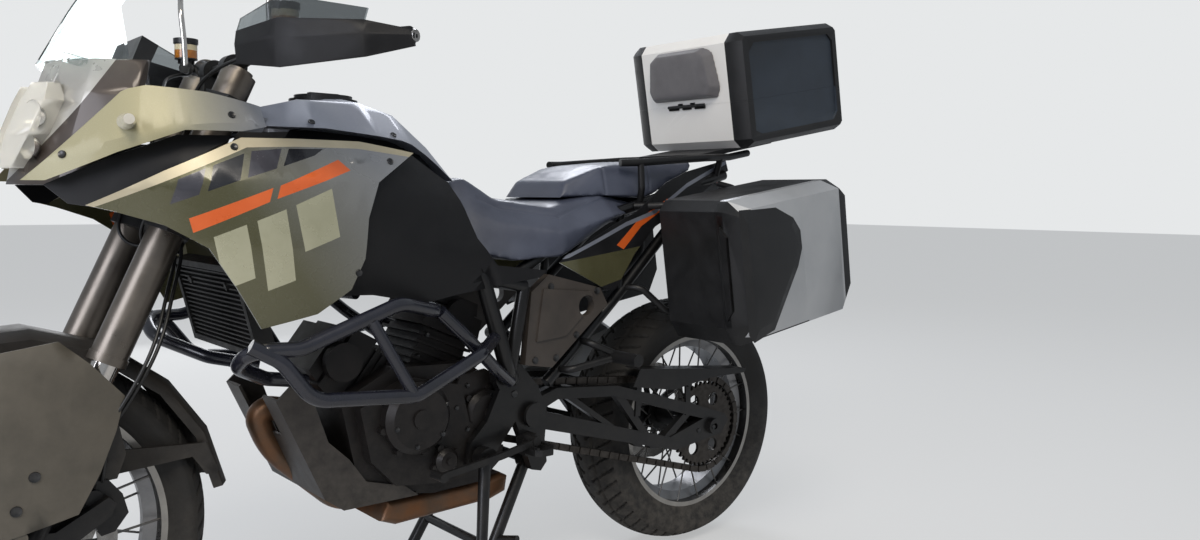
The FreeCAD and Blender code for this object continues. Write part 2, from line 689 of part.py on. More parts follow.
clamps = joined([clamps] + risers).cut(handlebar).cut(laid("fork_upper_tubes"))
put("fork_clamps", clamps)

way = (bar_end - knee_2).normalize()


def on_bar(back):
    """A point on the left bar, a distance inboard of its end."""
    return bar_end - way * back


grip = rod(on_bar(c("grip_length") + 12), on_bar(12), c("grip_radius"))
flange = rod(on_bar(c("grip_length") + 12), on_bar(c("grip_length") + 6), c("grip_radius") + 7)
grip = grip.fuse(flange).cut(rod(on_bar(300), on_bar(-20), c("bar_radius") + 0.02))
put("grips", pair(grip))

switch = rod(on_bar(c("grip_length") + 66), on_bar(c("grip_length") + 18), 24)
switch = switch.fuse(rod(on_bar(c("grip_length") + 60), on_bar(c("grip_length") + 34), 27))
perch_at = on_bar(c("grip_length") + 88)
perch = rod(on_bar(c("grip_length") + 102), on_bar(c("grip_length") + 72), 18)
ahead_of_bar = V(-1, 0, 0.12).normalize()
across = V(way.x, way.y, 0).normalize()
forward = V(across.y, -across.x, 0)
if forward.x > 0:
    forward = forward * -1
cylinder_a = perch_at + forward * 34 - across * 22
pump = rod(cylinder_a, cylinder_a + across * 84, 14)
arm = rod(perch_at, perch_at + forward * 36, 11)
boss = rod(perch_at + forward * 34 + V(0, 0, -14), perch_at + forward * 34 + V(0, 0, 16), 12)
mirror_seat = rod(cylinder_a + across * 2 + V(0, 0, -4), cylinder_a - across * 20 + V(0, 0, -4), 8)
controls = joined(switch, perch, pump, arm, boss, mirror_seat).cut(rod(on_bar(400), on_bar(-20), c("bar_radius") + 0.02))
pot_at = perch_at + forward * 36 + V(0, 0, 12)
pot = joined(rod(pot_at, pot_at + V(0, 0, 10), 16), rod(pot_at + V(0, 0, 8), pot_at + V(0, 0, 40), 22),
             rod(pot_at + V(0, 0, 40), pot_at + V(0, 0, 50), 24))

lever_root = perch_at + forward * 34 + across * 64
lever = slab([lever_root + across * a + forward * f + V(0, 0, -5) for a, f in (
    (-6, -9), (-6, 11), (18, 15), (50, 22), (100, 18), (130, 10), (140, 4), (138, -6), (126, -4),
    (98, 4), (50, 8), (18, 0))], V(0, 0, 9))
controls = joined(controls, pot, lever).cut(rod(on_bar(400), on_bar(-20), c("bar_radius") + 0.02))
controls = less(controls, grip)
put("bar_controls", pair(controls))

mirror_root = perch_at + forward * 34 - across * 34 + V(0, 0, -8)
mirror_knee = mirror_root + V(-6, -4, 120)
mirror_hub = mirror_root + V(12, -62, 196)
rod_shape = bent([mirror_root, mirror_root + V(-2, 0, 60), mirror_knee, mirror_hub], 5.5, 40)
glass_at = mirror_hub + V(6, -34, 22)
outline = [(-88, 0), (-78, 34), (-40, 46), (44, 46), (84, 30), (92, -4), (70, -38), (-30, -46), (-76, -34)]
shell = loft([[tuple(glass_at + V(-34, a * 0.55, b * 0.5)) for a, b in outline],
              [tuple(glass_at + V(-14, a * 0.94, b * 0.92)) for a, b in outline],
              [tuple(glass_at + V(4, a, b)) for a, b in outline]], True)
shell = shell.cut(loft([[tuple(glass_at + V(0.5, a * 0.94, b * 0.94)) for a, b in outline],
                        [tuple(glass_at + V(6, a * 0.94, b * 0.94)) for a, b in outline]], True))
mirror = shell.fuse(rod_shape)
pane = slab([glass_at + V(0.5, a * 0.94, b * 0.94) for a, b in outline], V(1.5, 0, 0))
put("mirrors", pair(less(mirror.fuse(pane), controls)))

# Hand guards: a strut from the bar end to the bar, an opaque shell and a clear upper edge.
strut_in = knee_2 + V(-60, 10, 0)
guard_front = [V(bar_end.x + 6, bar_end.y - 26, bar_end.z), V(bar_end.x - 70, bar_end.y - 6, bar_end.z - 4),
               V(bar_end.x - 168, bar_end.y + 92, bar_end.z - 8), V(bar_end.x - 196, bar_end.y + 190, bar_end.z - 12)]
spans = ((16, 18), (34, 44), (46, 60), (30, 44))
low_shell = loft([[(p.x, p.y, p.z - lo), (p.x - 4, p.y - 3, p.z), (p.x, p.y, p.z + hi * 0.5),
                   (p.x + 6, p.y + 4.5, p.z + hi * 0.5), (p.x + 2, p.y + 1.5, p.z), (p.x + 6, p.y + 4.5, p.z - lo)]
                  for p, (lo, hi) in zip(guard_front, spans)], True)
clear = loft([[(p.x + 1, p.y + 0.75, p.z + hi * 0.5 + gap), (p.x + 10, p.y + 7.5, p.z + hi * 0.5 + up),
               (p.x + 14, p.y + 10.5, p.z + hi * 0.5 + up), (p.x + 5, p.y + 3.75, p.z + hi * 0.5 + gap)]
              for p, (lo, hi), up in zip(guard_front[1:], spans[1:], (20, 38, 22))], True)
end_knob = rod(bar_end, bar_end + way * 16, 16)
bolt = rod(bar_end + way * 16, V(bar_end.x + 6, bar_end.y - 22, bar_end.z), 9)
inner_mount = rod(knee_2 + V(0, -30, 4), guard_front[3] + V(6, 6, 0), 8)
hand_guard = joined(low_shell, end_knob, bolt, inner_mount).cut(rod(on_bar(400), on_bar(0), c("bar_radius") + 0.05))
hand_guard = less(hand_guard, controls, mirror, laid("handlebar"))
hand_guard = max(hand_guard.Solids, key=lambda q: q.Volume)
put("hand_guards", pair(hand_guard))
put("hand_guard_screens", pair(clear))

# Brake hoses from the clamps down the left leg to the calipers.
hose_r = 3.2
# Points of each run: ahead of the axis, across, and down from the lower clamp.
HOSE_DOWN = ((-12, -38, 10), (-14, -66, 24), (-20, -88, 96), (-24, -126, 170), (-20, -140, 240), (-10, -132, 330))
hose_l = [steer(u, y, lower_w - drop) for u, y, drop in HOSE_DOWN]
hose_l += [front + V(124, -124, 200), front + V(120, -124, 124), front + V(118, -96, 86)]
hoses = [bent([p + V(12 * k, 4 * k, 4 * k) for p in hose_l], hose_r) for k in (0, 1)]
bar_hose = bent([perch_at + forward * 34 - across * 20 + V(0, 0, -12), perch_at + forward * 66 - across * 60 + V(0, 0, -20),
                 V(bar_x - 78, -96, bar_z - 34), steer(64, -84, upper_w - 30), steer(64, -84, lower_w + 20),
                 steer(56, -66, lower_w - 22), steer(20, -52, lower_w - 34), steer(-8, -30, lower_w - 12)], hose_r)
print("hose lengths", [round(h.Volume / (math.pi * hose_r ** 2)) for h in hoses + [bar_hose]])
hose_set = [less(h, laid("fork_clamps"), laid("fork_guards"), controls, mirror, lower_legs, hooded, *calipers)
            for h in hoses + [bar_hose]]
hose_set = [max(h.Solids, key=lambda q: q.Volume) for h in hose_set]
put("brake_hoses", Part.makeCompound(hose_set + [mirrored(hose_set[-1])]))

# Frame: steering head, tube trellis down to the pivot plates, and the rear frame.
head_a, head_b = steer(0, 0, w_low), steer(0, 0, w_high)
head = rod(head_a, head_b, c("head_radius")).cut(
    rod(steer(0, 0, w_low - 50), steer(0, 0, w_high + 50), c("stem_radius") + fit))
ft = c("frame_tube")
top_join = steer(-30, -24, w_high - 40)
low_join = steer(-30, -24, w_low + 30)
elbow = V(8, -196, 748)
mid_node = V(74, -190, 556)
plate_top = V(108, -158, 520)
trellis = [
    bent([top_join, V(-330, -120, 930), V(-150, -186, 836), elbow, mid_node + V(0, 0, 0), plate_top], ft, 60),
    rod(low_join, V(-215, -160, 742), ft - 3),
    rod(V(-215, -160, 742), V(-122, -184, 822), ft - 4),
    rod(V(-215, -160, 742), elbow + V(-22, 6, -14), ft - 3),
    rod(V(120, -186, 720), mid_node + V(14, 8, -10), ft - 3),
    rod(elbow, V(120, -186, 720), ft - 3),
]
plate_line = [(60, 560), (118, 560), (172, 500), (196, 440), (190, 380), (196, 330), (180, 312),
              (156, 318), (128, 392), (108, 440), (62, 520)]
plate_a = side_plate(plate_line, -168, -146)
hole_spots = ((pivot.x, pivot.z, 30), (84, 530, 9))
for hx, hz, hr in hole_spots[1:]:
    plate_a = plate_a.cut(rod(V(hx, -200, hz), V(hx, -100, hz), hr))
pivot_bore = rod(V(pivot.x, -300, pivot.z), V(pivot.x, 300, pivot.z), c("pivot_radius") + 0.02)
left_frame = joined(trellis + [plate_a])
sp = V(c("stand_pivot_reach"), 0, c("stand_pivot_height"))
cross = [rod(V(sp.x, -150, sp.z), V(sp.x, 150, sp.z), 10), rod(V(120, -186, 720), V(120, 186, 720), 12)]
side_at = V(20, -190, 372)
side_lug = side_plate([(-8, 356), (0, 400), (40, 440), (80, 520), (110, 520), (120, 440), (50, 356)], -168, -152)
side_pin = rod(side_at + V(0, -18, 0), V(side_at.x, -152, side_at.z), 8)
gusset = slab([steer(-20, -9, w_low + 8), steer(-20, -9, w_high - 20), steer(-104, -9, w_high - 80),
               steer(-120, -9, w_low + 20)], V(0, 18, 0))
lug_l = rod(top_join + V(4, -6, 4), steer(-22, 0, w_high - 40), ft - 1)
lug_low = rod(low_join + V(4, -6, 4), steer(-22, 0, w_low + 30), ft - 3)
frame_shape = joined(head, gusset, left_frame, mirrored(left_frame), cross, side_lug, side_pin,
                     lug_l, mirrored(lug_l), lug_low, mirrored(lug_low))
nose_beam = joined(
    slab([steer(20, -18, w_low + 50), steer(20, -18, w_low + 100), V(-690, -18, 1010), V(-690, -18, 962)],
         V(0, 36, 0)))
frame_shape = frame_shape.fuse(nose_beam)
frame_shape = frame_shape.cut(pivot_bore)
frame_shape = frame_shape.cut(rod(steer(0, 0, w_low - 50), steer(0, 0, w_high + 50), c("stem_radius") + fit))
put("main_frame", frame_shape)
shaft = rod(V(pivot.x, -176, pivot.z), V(pivot.x, 176, pivot.z), c("pivot_radius"))
caps = [rod(V(pivot.x, s * 176, pivot.z), V(pivot.x, s * 184, pivot.z), 27) for s in (-1, 1)]
rt = c("rail_tube")
rail_top = [V(120, -150, 740), V(300, -140, 842), V(520, -130, 900), V(800, -118, 968)]
rail_low = [V(206, -150, 500), V(420, -150, 690), V(600, -140, 850), V(640, -134, 922)]
rails = [bent(rail_top, rt, 200), bent(rail_low, rt, 200), rod(V(420, -150, 690), V(430, -138, 872), rt - 3)]
lug = side_plate([(176, 470), (222, 500), (222, 530), (196, 540), (170, 500)], -168 + 22 + gap, -134)
left_rear = joined(rails)
bridges = [rod(V(520, -130, 900), V(520, 130, 900), 10), rod(V(792, -118, 966), V(792, 118, 966), 10)]
put("rear_frame", joined(left_rear, mirrored(left_rear), bridges).cut(frame_shape))

cover_line = [(186, 742), (140, 706), (124, 552), (196, 540), (352, 668), (330, 706)]
cover = side_plate(cover_line, -186, -166)
cover = cover.cut(rod(V(290, -260, 668), V(290, -100, 668), 22))
inner_line = [(200, 700), (156, 690), (142, 566), (192, 556), (330, 670), (318, 690)]
raised = side_plate([(170, 712), (152, 600), (230, 606), (312, 676), (300, 700)], -190, -186)
raised = raised.cut(rod(V(290, -260, 668), V(290, -100, 668), 24))
put("frame_covers", pair(cover.fuse(raised)).cut(frame_shape).cut(laid("rear_frame")))

# Swingarm: two trussed legs, a cross tube and the axle blocks, with its shock.
arm_half = c("arm_spread") / 2


def arm_leg(side):
    """One trussed leg: lower beam, upper strut and two diagonals round a pierced web."""
    y = side * arm_half
    w = 24
    low = [(pivot.x - 24, pivot.z - 6), (pivot.x + 10, pivot.z - 34), (xr - 130, zr - 44), (xr + 34, zr - 24),
           (xr + 60, zr + 8), (xr + 46, zr + 26), (xr - 30, zr + 24), (xr - 150, zr - 8), (pivot.x + 60, pivot.z - 8)]
    top = [(pivot.x - 20, pivot.z + 10), (pivot.x + 90, pivot.z + 42), (pivot.x + 270, pivot.z + 26),
           (xr - 60, zr + 62), (xr + 40, zr + 28), (xr + 20, zr + 8), (xr - 70, zr + 34),
           (pivot.x + 264, pivot.z + 2), (pivot.x + 92, pivot.z + 16), (pivot.x + 20, pivot.z - 12)]
    brace = [(pivot.x + 96, pivot.z + 30), (pivot.x + 120, pivot.z + 30), (xr - 230, zr - 22), (xr - 262, zr - 14)]
    brace_2 = [(xr - 214, zr - 26), (xr - 184, zr - 30), (pivot.x + 280, pivot.z + 14), (pivot.x + 256, pivot.z + 12)]
    brace_3 = [(xr - 196, zr - 24), (xr - 170, zr - 28), (xr - 60, zr + 50), (xr - 90, zr + 52)]
    plates = [side_plate(line, y - w / 2, y + w / 2) for line in (low, top)]
    plates += [side_plate(line, y - 9, y + 9) for line in (brace, brace_2, brace_3)]
    boss = rod(V(pivot.x, y - 20, pivot.z), V(pivot.x, y + 14, pivot.z), 34)
    return joined(plates + [boss])


left_arm, right_arm = arm_leg(-1), arm_leg(1)
arm_cross = rod(V(pivot.x + 46, -arm_half, pivot.z), V(pivot.x + 46, arm_half, pivot.z), 24)
arm = joined(left_arm, right_arm, arm_cross).cut(frame_shape)
rear_axle_half = arm_half + 24
rear_axle = joined(rod(rear + V(0, -rear_axle_half, 0), rear + V(0, rear_axle_half, 0), c("axle_radius")),
                   [rod(rear + V(0, s * (arm_half + 12), 0), rear + V(0, s * (arm_half + 24), 0), 20)
                    for s in (-1, 1)])
spacers = [rod(rear + V(0, -arm_half + 12, 0), rear + V(0, yc - 5, 0), 19),
           rod(rear + V(0, arm_half - 12, 0), rear + V(0, c("rear_disc_offset") + 4, 0), 19)]
chain_guard = side_plate([(xr - 283, zr + 135), (xr - 259, zr + 176), (xr + 116, zr + 138), (xr + 112, zr + 128),
                          (xr - 20, zr + 128), (xr - 150, zr + 112)], yc - 44, yc - 41)
guard_top = slab([V(xr - 259, yc - 44, zr + 176), V(xr + 116, yc - 44, zr + 138),
                  V(xr + 116, yc - 44, zr + 135), V(xr - 259, yc - 44, zr + 173)], V(0, 56, 0))
guard_lugs = [rod(V(x, -arm_half - 8, z), V(x, yc - 42, z), 7) for x, z in ((xr - 255, zr + 145), (xr - 90, zr + 118))]
guard_arms = [side_plate(line, -arm_half - 12, -arm_half - 6) for line in (
    [(xr - 262, zr + 152), (xr - 246, zr + 152), (xr - 252, zr + 60), (xr - 268, zr + 60)],
    [(xr - 98, zr + 124), (xr - 82, zr + 124), (xr - 78, zr + 40), (xr - 96, zr + 40)])]
brake_at = rear + V(-115, 0, 0)
rear_caliper = side_plate([(xr - 160, zr - 26), (xr - 150, zr + 40), (xr - 100, zr + 44), (xr - 92, zr + 10),
                           (xr - 96, zr - 40), (xr - 146, zr - 42)], 72, arm_half - 8)
rear_caliper = rear_caliper.cut(Part.makeBox(80, 15, 140, V(xr - 140, c("rear_disc_offset") - 7.5, zr - 70)))
arm = joined(arm, rear_axle, shaft, caps, spacers, rear_caliper, chain_guard, guard_top, guard_lugs, guard_arms)
arm = arm.cut(chain_band)
put("swingarm", arm.cut(rod(rear + V(0, -300, 0), rear + V(0, 300, 0), c("axle_bore_radius"))))

# Engine: crankcase, two cylinders of a 75 degree vee, covers, sump and engine sprocket side.
case_line = [(-262, 512), (-232, 372), (-190, 318), (-60, 296), (60, 300), (110, 340), (124, 420), (96, 512),
             (20, 560), (-150, 566)]
crank = side_plate(case_line, -118, 118)
flank = side_plate([(-236, 500), (-214, 392), (-160, 336), (-40, 322), (56, 340), (70, 400), (10, 440),
                    (-10, 520), (-120, 548)], -148, 148)
waist = rod(V(c("output_reach"), -130, c("output_height")), V(c("output_reach"), -80, c("output_height")), 20)
crank_centre = V(-70, 0, 452)


def vee(tilt, long, name_y):
    """A cylinder, head and cam cover leaning by a tilt from the vertical."""
    a = math.radians(tilt)
    up = V(-math.sin(a), 0, math.cos(a))
    fore = V(-math.cos(a), 0, -math.sin(a))
    shapes = []
    for (u0, u1, f0, f1, half) in ((96, 176, -62, 62, 74), (179, 232, -72, 74, 88), (235, long, -54, 60, 80)):
        corners = [(u0, f0), (u0, f1), (u1, f1 - 8), (u1, f0 + 8)]
        shapes.append(slab([crank_centre + up * u + fore * f + V(0, -half, 0) for u, f in corners],
                           V(0, 2 * half, 0)))
    shapes.append(slab([crank_centre + up * u + fore * f + V(0, -68, 0) for u, f in (
        (90, -50), (90, 50), (long - 4, 46), (long - 4, -46))], V(0, 136, 0)))
    for k in range(4):
        u = 108 + 17 * k
        shapes.append(slab([crank_centre + up * (u + du) + fore * f + V(0, -80, 0) for du, f in
                            ((0, -68), (0, 68), (6, 68), (6, -68))], V(0, 160, 0)))
    return shapes, up, fore


front_jug, up_f, fore_f = vee(52, 262, 0)
rear_jug, up_r, fore_r = vee(-23, 262, 0)
output = V(c("output_reach"), 0, c("output_height"))
output_shaft = rod(output + V(0, yc, 0), output, 14)
block = joined(crank, flank, front_jug, rear_jug).cut(chain_pocket)
block = less(block, frame_shape, laid("swingarm"))

covers = []


def round_cover(x, z, y, r, deep, lip=4, bosses=6):
    """A round side cover with a chamfered rim, a hub boss and bolt bosses."""
    s = -1 if y < 0 else 1
    body = rod(V(x, y, z), V(x, y + s * deep * 0.6, z), r)
    body = body.fuse(taper(V(x, y + s * deep * 0.6, z), V(x, y + s * deep, z), r, r - deep * 0.35))
    body = body.fuse(rod(V(x, y + s * deep, z), V(x, y + s * (deep + lip), z), r * 0.26))
    parts = []
    for k in range(bosses):
        a = 2 * math.pi * (k + 0.3) / bosses
        parts.append(rod(V(x + (r + 3) * math.cos(a), y, z + (r + 3) * math.sin(a)),
                         V(x + (r + 3) * math.cos(a), y + s * deep * 0.5, z + (r + 3) * math.sin(a)), 7))
    return body.multiFuse(parts)


LEFT_COVERS = (
    (-122, 470, -148, 72, 34, 5, 8),
    (c("output_reach") - 14, c("output_height") - 4, -124, 50, 26, 5, 6),
    (-52, 372, -148, 26, 22, 4, 4),
)
RIGHT_COVERS = (
    (-70, 452, 148, 92, 36, 5, 9),
    (62, 420, 118, 40, 32, 4, 5),
    (-176, 392, 148, 32, 30, 4, 4),
)
sprocket_plate = side_plate([(-20, 392), (34, 366), (84, 374), (108, 412), (112, 460), (98, 520), (60, 544),
                             (0, 536), (-30, 480)], -130, -124)
standoffs = [rod(V(x, -117, z), V(x, -125, z), 8) for x, z in ((62, 534), (56, 374), (0, 534))]
left_covers = joined([round_cover(*v) for v in LEFT_COVERS] + [sprocket_plate] + standoffs)
right_covers = joined([round_cover(*v) for v in RIGHT_COVERS])
put("engine_covers", Part.makeCompound([less(left_covers, block, frame_shape, laid("swingarm")),
                                        less(right_covers, block, frame_shape, laid("swingarm"))]))
head_cover = [rod(crank_centre + up_f * 222 + fore_f * 4 + V(0, -88, 0),
                  crank_centre + up_f * 222 + fore_f * 4 + V(0, -108, 0), 38),
              rod(crank_centre + up_r * 222 + V(0, -88, 0), crank_centre + up_r * 222 + V(0, -104, 0), 34)]
block = block.multiFuse(head_cover)
put("engine_block", less(block, frame_shape))

# Exhaust: two header pipes, the collector box under the engine and the silencer on the right.
port_f = crank_centre + up_f * 204 + fore_f * 76
front_pipe = bent([port_f, port_f + fore_f * 46, V(-388, 0, 500), V(-350, 10, 410), V(-262, 30, 330),
                   V(-196, 40, 270), V(-120, 44, 266)], 24)
box_line = [(-166, 250), (-150, 288), (40, 288), (70, 292), (128, 300), (146, 290), (140, 256), (100, 244),
            (-130, 236)]
collector = side_plate(box_line, -96, 96)
collector = collector.makeFillet(14, [e for e in collector.Edges if abs(
    e.Vertexes[0].Point.y - e.Vertexes[-1].Point.y) < 0.1])
muffler_a, muffler_b = V(300, 200, 400), V(690, 240, 492)
muff_way = (muffler_b - muffler_a).normalize()
link_pipe = bent([V(10, 70, 262), V(56, 150, 262), V(112, 198, 288), V(190, 204, 340),
                  muffler_a - muff_way * 44], 25)
exhaust = less(joined(front_pipe, collector, link_pipe), block, frame_shape)
put("exhaust_pipes", exhaust)


def silencer_section(at, a, b):
    """A six-sided silencer section."""
    up = V(-muff_way.z, 0, muff_way.x).normalize()
    side = up.cross(muff_way)
    return [tuple(at + up * (b * v) + side * (a * u)) for u, v in (
        (-0.5, -1), (0.5, -1), (1, -0.2), (0.8, 0.7), (0, 1), (-0.8, 0.7), (-1, -0.2))]


muffler = loft([silencer_section(muffler_a - muff_way * 50, 27, 27),
                silencer_section(muffler_a + muff_way * 30, 52, 70),
                silencer_section(muffler_b, 56, 78),
                silencer_section(muffler_b + muff_way * 24, 46, 64)], True)
muffler = muffler.cut(rod(muffler_b - muff_way * 40, muffler_b + muff_way * 60, 22))
put("silencer", less(muffler, exhaust))

# Radiators with finned cores, their frame and the fan shroud.
rad_x, rad_top, rad_low = -478, 800, 612
core = []
rad_tilt = math.radians(14)
rad_up = V(-math.sin(rad_tilt), 0, math.cos(rad_tilt))
rad_out = V(-math.cos(rad_tilt), 0, -math.sin(rad_tilt))
rad_base = V(-438, 0, 618)
rad_frame = slab([rad_base + V(0, -172, 0), rad_base + V(0, 172, 0), rad_base + V(0, 172, 0) + rad_up * 168,
                  rad_base + V(0, -172, 0) + rad_up * 168], rad_out * -34)
window = slab([rad_base + rad_out * 1 + V(0, -158, 0) + rad_up * 12, rad_base + rad_out * 1 + V(0, 158, 0) + rad_up * 12,
               rad_base + rad_out * 1 + V(0, 158, 0) + rad_up * 156,
               rad_base + rad_out * 1 + V(0, -158, 0) + rad_up * 156], rad_out * -12)
rad_frame = rad_frame.cut(window)
fins = []
for k in range(16):
    at = rad_base - rad_out * 3 + rad_up * (15 + 9 * k) + V(0, -157.5, 0)
    fins.append(slab([at, at + rad_up * 3, at + rad_up * 3 - rad_out * 8, at - rad_out * 8], V(0, 315, 0)))
strut_end = low_join * 0.4 + V(-215, -160, 742) * 0.6
rad_strut = rod(rad_base + rad_up * 128 + V(0, -96, 0), strut_end, 7)
radiator = less(joined(rad_frame, fins, rad_strut, mirrored(rad_strut)), frame_shape, block)
put("radiator", max(radiator.Solids, key=lambda q: q.Volume))

# Sump guard: a folded plate with side wings round the front of the engine.
guard_side = [(-392, 528), (-372, 500), (-352, 400), (-296, 330), (-262, 300), (-108, 300), (-96, 312),
              (-244, 322), (-300, 380), (-330, 440), (-352, 540)]
wing = side_plate([(-392, 530), (-300, 330), (-262, 302), (-100, 302), (-130, 326), (-214, 350), (-250, 400),
                   (-292, 440), (-320, 520), (-360, 560)], -128, -123)
belly = side_plate([(-300, 330), (-262, 302), (-100, 302), (-100, 307), (-260, 307), (-296, 333)], -123, 123)
nose = side_plate([(-392, 530), (-300, 330), (-295, 333), (-387, 533)], -123, 123)
nose = nose.cut(Part.makeBox(80, 120, 90, V(-400, -60, 450)))
put("sump_guard", less(joined(wing, mirrored(wing), belly, nose), exhaust, block))

# Engine guards: an upper and a lower loop each side with a brace.
gt = c("bar_guard_tube")
loop_a = bent([V(-96, -150, 690), V(-128, -262, 690), V(-232, -300, 716), V(-420, -306, 652), V(-500, -292, 654),
               V(-500, -230, 620), V(-420, -150, 580), V(-330, -110, 560)], gt, 60)
loop_b = bent([V(-500, -294, 662), V(-452, -304, 634), V(-398, -304, 562), V(-200, -302, 546), V(-36, -262, 600),
               V(40, -196, 620)], gt, 60)
loop_c = bent([V(-128, -262, 690), V(-70, -256, 640), V(30, -210, 560), V(92, -176, 520)], gt, 60)
brace_d = rod(V(-290, -304, 690), V(-206, -302, 548), gt - 2)
left_guard = joined(loop_a, loop_b, loop_c, brace_d)
left_guard = less(left_guard, frame_shape, block, laid("sump_guard"))
put("engine_guards", pair(left_guard))

# Footrests, pedals and stands.
peg_z = c("peg_height")
peg_line = [(0, -24), (48, -24), (60, -14), (60, 14), (48, 24), (0, 24)]
peg = top_plate([(132 + v, -196 - u) for u, v in peg_line], peg_z - 8, peg_z + 6)
peg = peg.cut(top_plate([(132 + v, -204 - u) for u, v in ((0, -12), (44, -12), (44, 12), (0, 12))],
                        peg_z - 20, peg_z + 20))
teeth_bits = []
for k in range(7):
    for v in (-24, 18):
        teeth_bits.append(Part.makeBox(6, 4, 5, V(132 + v, -204 - 8 * k, peg_z + 6)))
peg = peg.multiFuse(teeth_bits)
hanger = side_plate([(112, 396), (148, 404), (160, 380), (160, 360), (118, 360)], -196, -168)
pax_arm = bent([V(300, -150, 586), V(300, -190, 584), V(356, -214, 556)], 8, 20)
pax_arm_2 = bent([V(238, -150, 528), V(240, -190, 530), V(352, -214, 550)], 8, 20)
pax_peg = rod(V(352, -212, 552), V(352, -292, 552), 14)
pegs = joined(peg, hanger)
pax_pegs = joined(pax_arm, pax_arm_2, pax_peg)
muffler_strap = side_plate([(338, 556), (372, 556), (392, 452), (352, 452)], 197, 205)
shift = side_plate([(124, 402), (132, 390), (40, 372), (-104, 354), (-112, 366), (30, 384)], -226, -218)
tip = rod(V(-106, -200, 362), V(-106, -240, 362), 9)
root = rod(V(126, -190, 397), V(126, -228, 397), 10)
gear = joined(shift, tip, root)
brake = side_plate([(112, 384), (120, 396), (30, 396), (-48, 384), (-52, 374), (24, 380)], 198, 206)
brake_pad = top_plate([(-66, 194), (-38, 194), (-38, 236), (-66, 236)], 376, 384)
brake_root = rod(V(118, 190, 388.5), V(118, 208, 388.5), 10)
pedals = joined(brake, brake_pad, brake_root)
left_set = joined(pegs, gear)
right_set = joined(mirrored(pegs), pedals)
foot_set = [less(part, frame_shape, exhaust, laid("silencer"), laid("rear_frame"), laid("swingarm"))
            for part in (left_set, right_set, pax_pegs, joined(mirrored(pax_pegs), muffler_strap))]
put("footrests_and_pedals", Part.makeCompound(foot_set))

st = c("stand_tube")
sf = c("stand_foot_reach")
sy = c("stand_spread") / 2
leg_top = V(sp.x, -sy + 14, sp.z)
leg_foot = V(sf, -sy - 16, 14)
stand_leg = rod(leg_top, leg_foot, st)
pad = top_plate([(sf - 34, -sy - 34), (sf + 34, -sy - 34), (sf + 34, -sy + 2), (sf - 34, -sy + 2)], 0, 8)
knuckle = rod(V(sp.x, -sy + 2, sp.z), V(sp.x, -sy + 26, sp.z), 20)
foot_lug = side_plate([(sf - 20, 6), (sf + 22, 6), (sf + 30, 40), (sf + 4, 44)], -sy - 24, -sy - 8)
cross_l = leg_top + (leg_foot - leg_top) * 0.5
cross_2 = leg_top + (leg_foot - leg_top) * 0.56
stand = joined(stand_leg, mirrored(stand_leg), pad, mirrored(pad), knuckle, mirrored(knuckle), foot_lug,
               mirrored(foot_lug), rod(cross_2, V(cross_2.x, -cross_2.y, cross_2.z), 10))
tang = rod(cross_l, cross_l + V(20, -54, 10), 8)
stand = stand.fuse(tang)
stand = stand.cut(rod(V(sp.x, -200, sp.z), V(sp.x, 200, sp.z), 10 + fit))
put("centre_stand", stand)

side_foot = V(-40, -258, 44)
prop = joined(taper(side_at, side_foot, 13, 10), rod(side_at + V(0, -14, 0), side_at + V(0, 14, 0), 22))
foot_plate = top_plate([(-64, -286), (0, -296), (8, -240), (-56, -232)], 36, 44)
prop = prop.fuse(foot_plate).cut(rod(side_at + V(0, -50, 0), side_at + V(0, 50, 0), 8 + fit))
put("side_stand", prop)

# Tank, its covers and the fairing, as lofted walls trimmed by their side outlines.
tank = loft([
    [(-404, -120, 1034), (-404, 120, 1034), (-404, 150, 900), (-404, 120, 836), (-404, -120, 836), (-404, -150, 900)],
    [(-250, -160, 1032), (-250, 160, 1032), (-250, 226, 860), (-250, 180, 770), (-250, -180, 770), (-250, -226, 860)],
    [(-100, -130, 1002), (-100, 130, 1002), (-100, 196, 850), (-100, 150, 780), (-100, -150, 780), (-100, -196, 850)],
    [(-24, -70, 962), (-24, 70, 962), (-24, 120, 850), (-24, 100, 800), (-24, -100, 800), (-24, -120, 850)],
], True)
head_room = rod(steer(0, 0, w_low - 60), steer(0, 0, w_high + 160), 157)
tank = less(tank, frame_shape, head_room, block)
put("fuel_tank", tank)

cover_stations = [
    (-452, 150, 224, 1020, 1052, 1040),
    (-350, 118, 236, 1012, 1078, 1084),
    (-230, 112, 232, 1004, 1080, 1094),
    (-150, 96, 214, 992, 1062, 1080),
    (-60, 70, 146, 962, 1004, 1022),
    (14, 46, 84, 936, 942, 950),
]
outer_rings, inner_rings = [], []
for x, ridge, edge, low, mid, top in cover_stations:
    line = [(-edge, low - 30), (-edge, low), (-ridge - 26, mid), (-ridge * 0.5, top), (ridge * 0.5, top),
            (ridge + 26, mid), (edge, low), (edge, low - 30)]
    outer_rings.append([(x, y, z) for y, z in line])
solid_cover = loft(outer_rings, True)
trim = side_plate([(-446, 1022), (-330, 1024), (-170, 1010), (-96, 986), (8, 938), (40, 990), (-60, 1110),
                   (-460, 1120), (-470, 1024)], -400, 400)
tank_cover = solid_cover.common(trim).cut(tank).cut(head_room)
cap_at = V(-236, 0, 1070)
cap_well = Part.makeCylinder(66, 60, cap_at)
tank_cover = tank_cover.cut(Part.makeCylinder(66 + gap, 80, cap_at))
put("tank_cover", tank_cover)
cap = joined(Part.makeCylinder(66, 24, cap_at + V(0, 0, gap)), Part.makeCylinder(56, 8, cap_at + V(0, 0, 24)),
             Part.makeBox(60, 14, 7, cap_at + V(-30, -7, 31)))
put("filler_cap", cap)

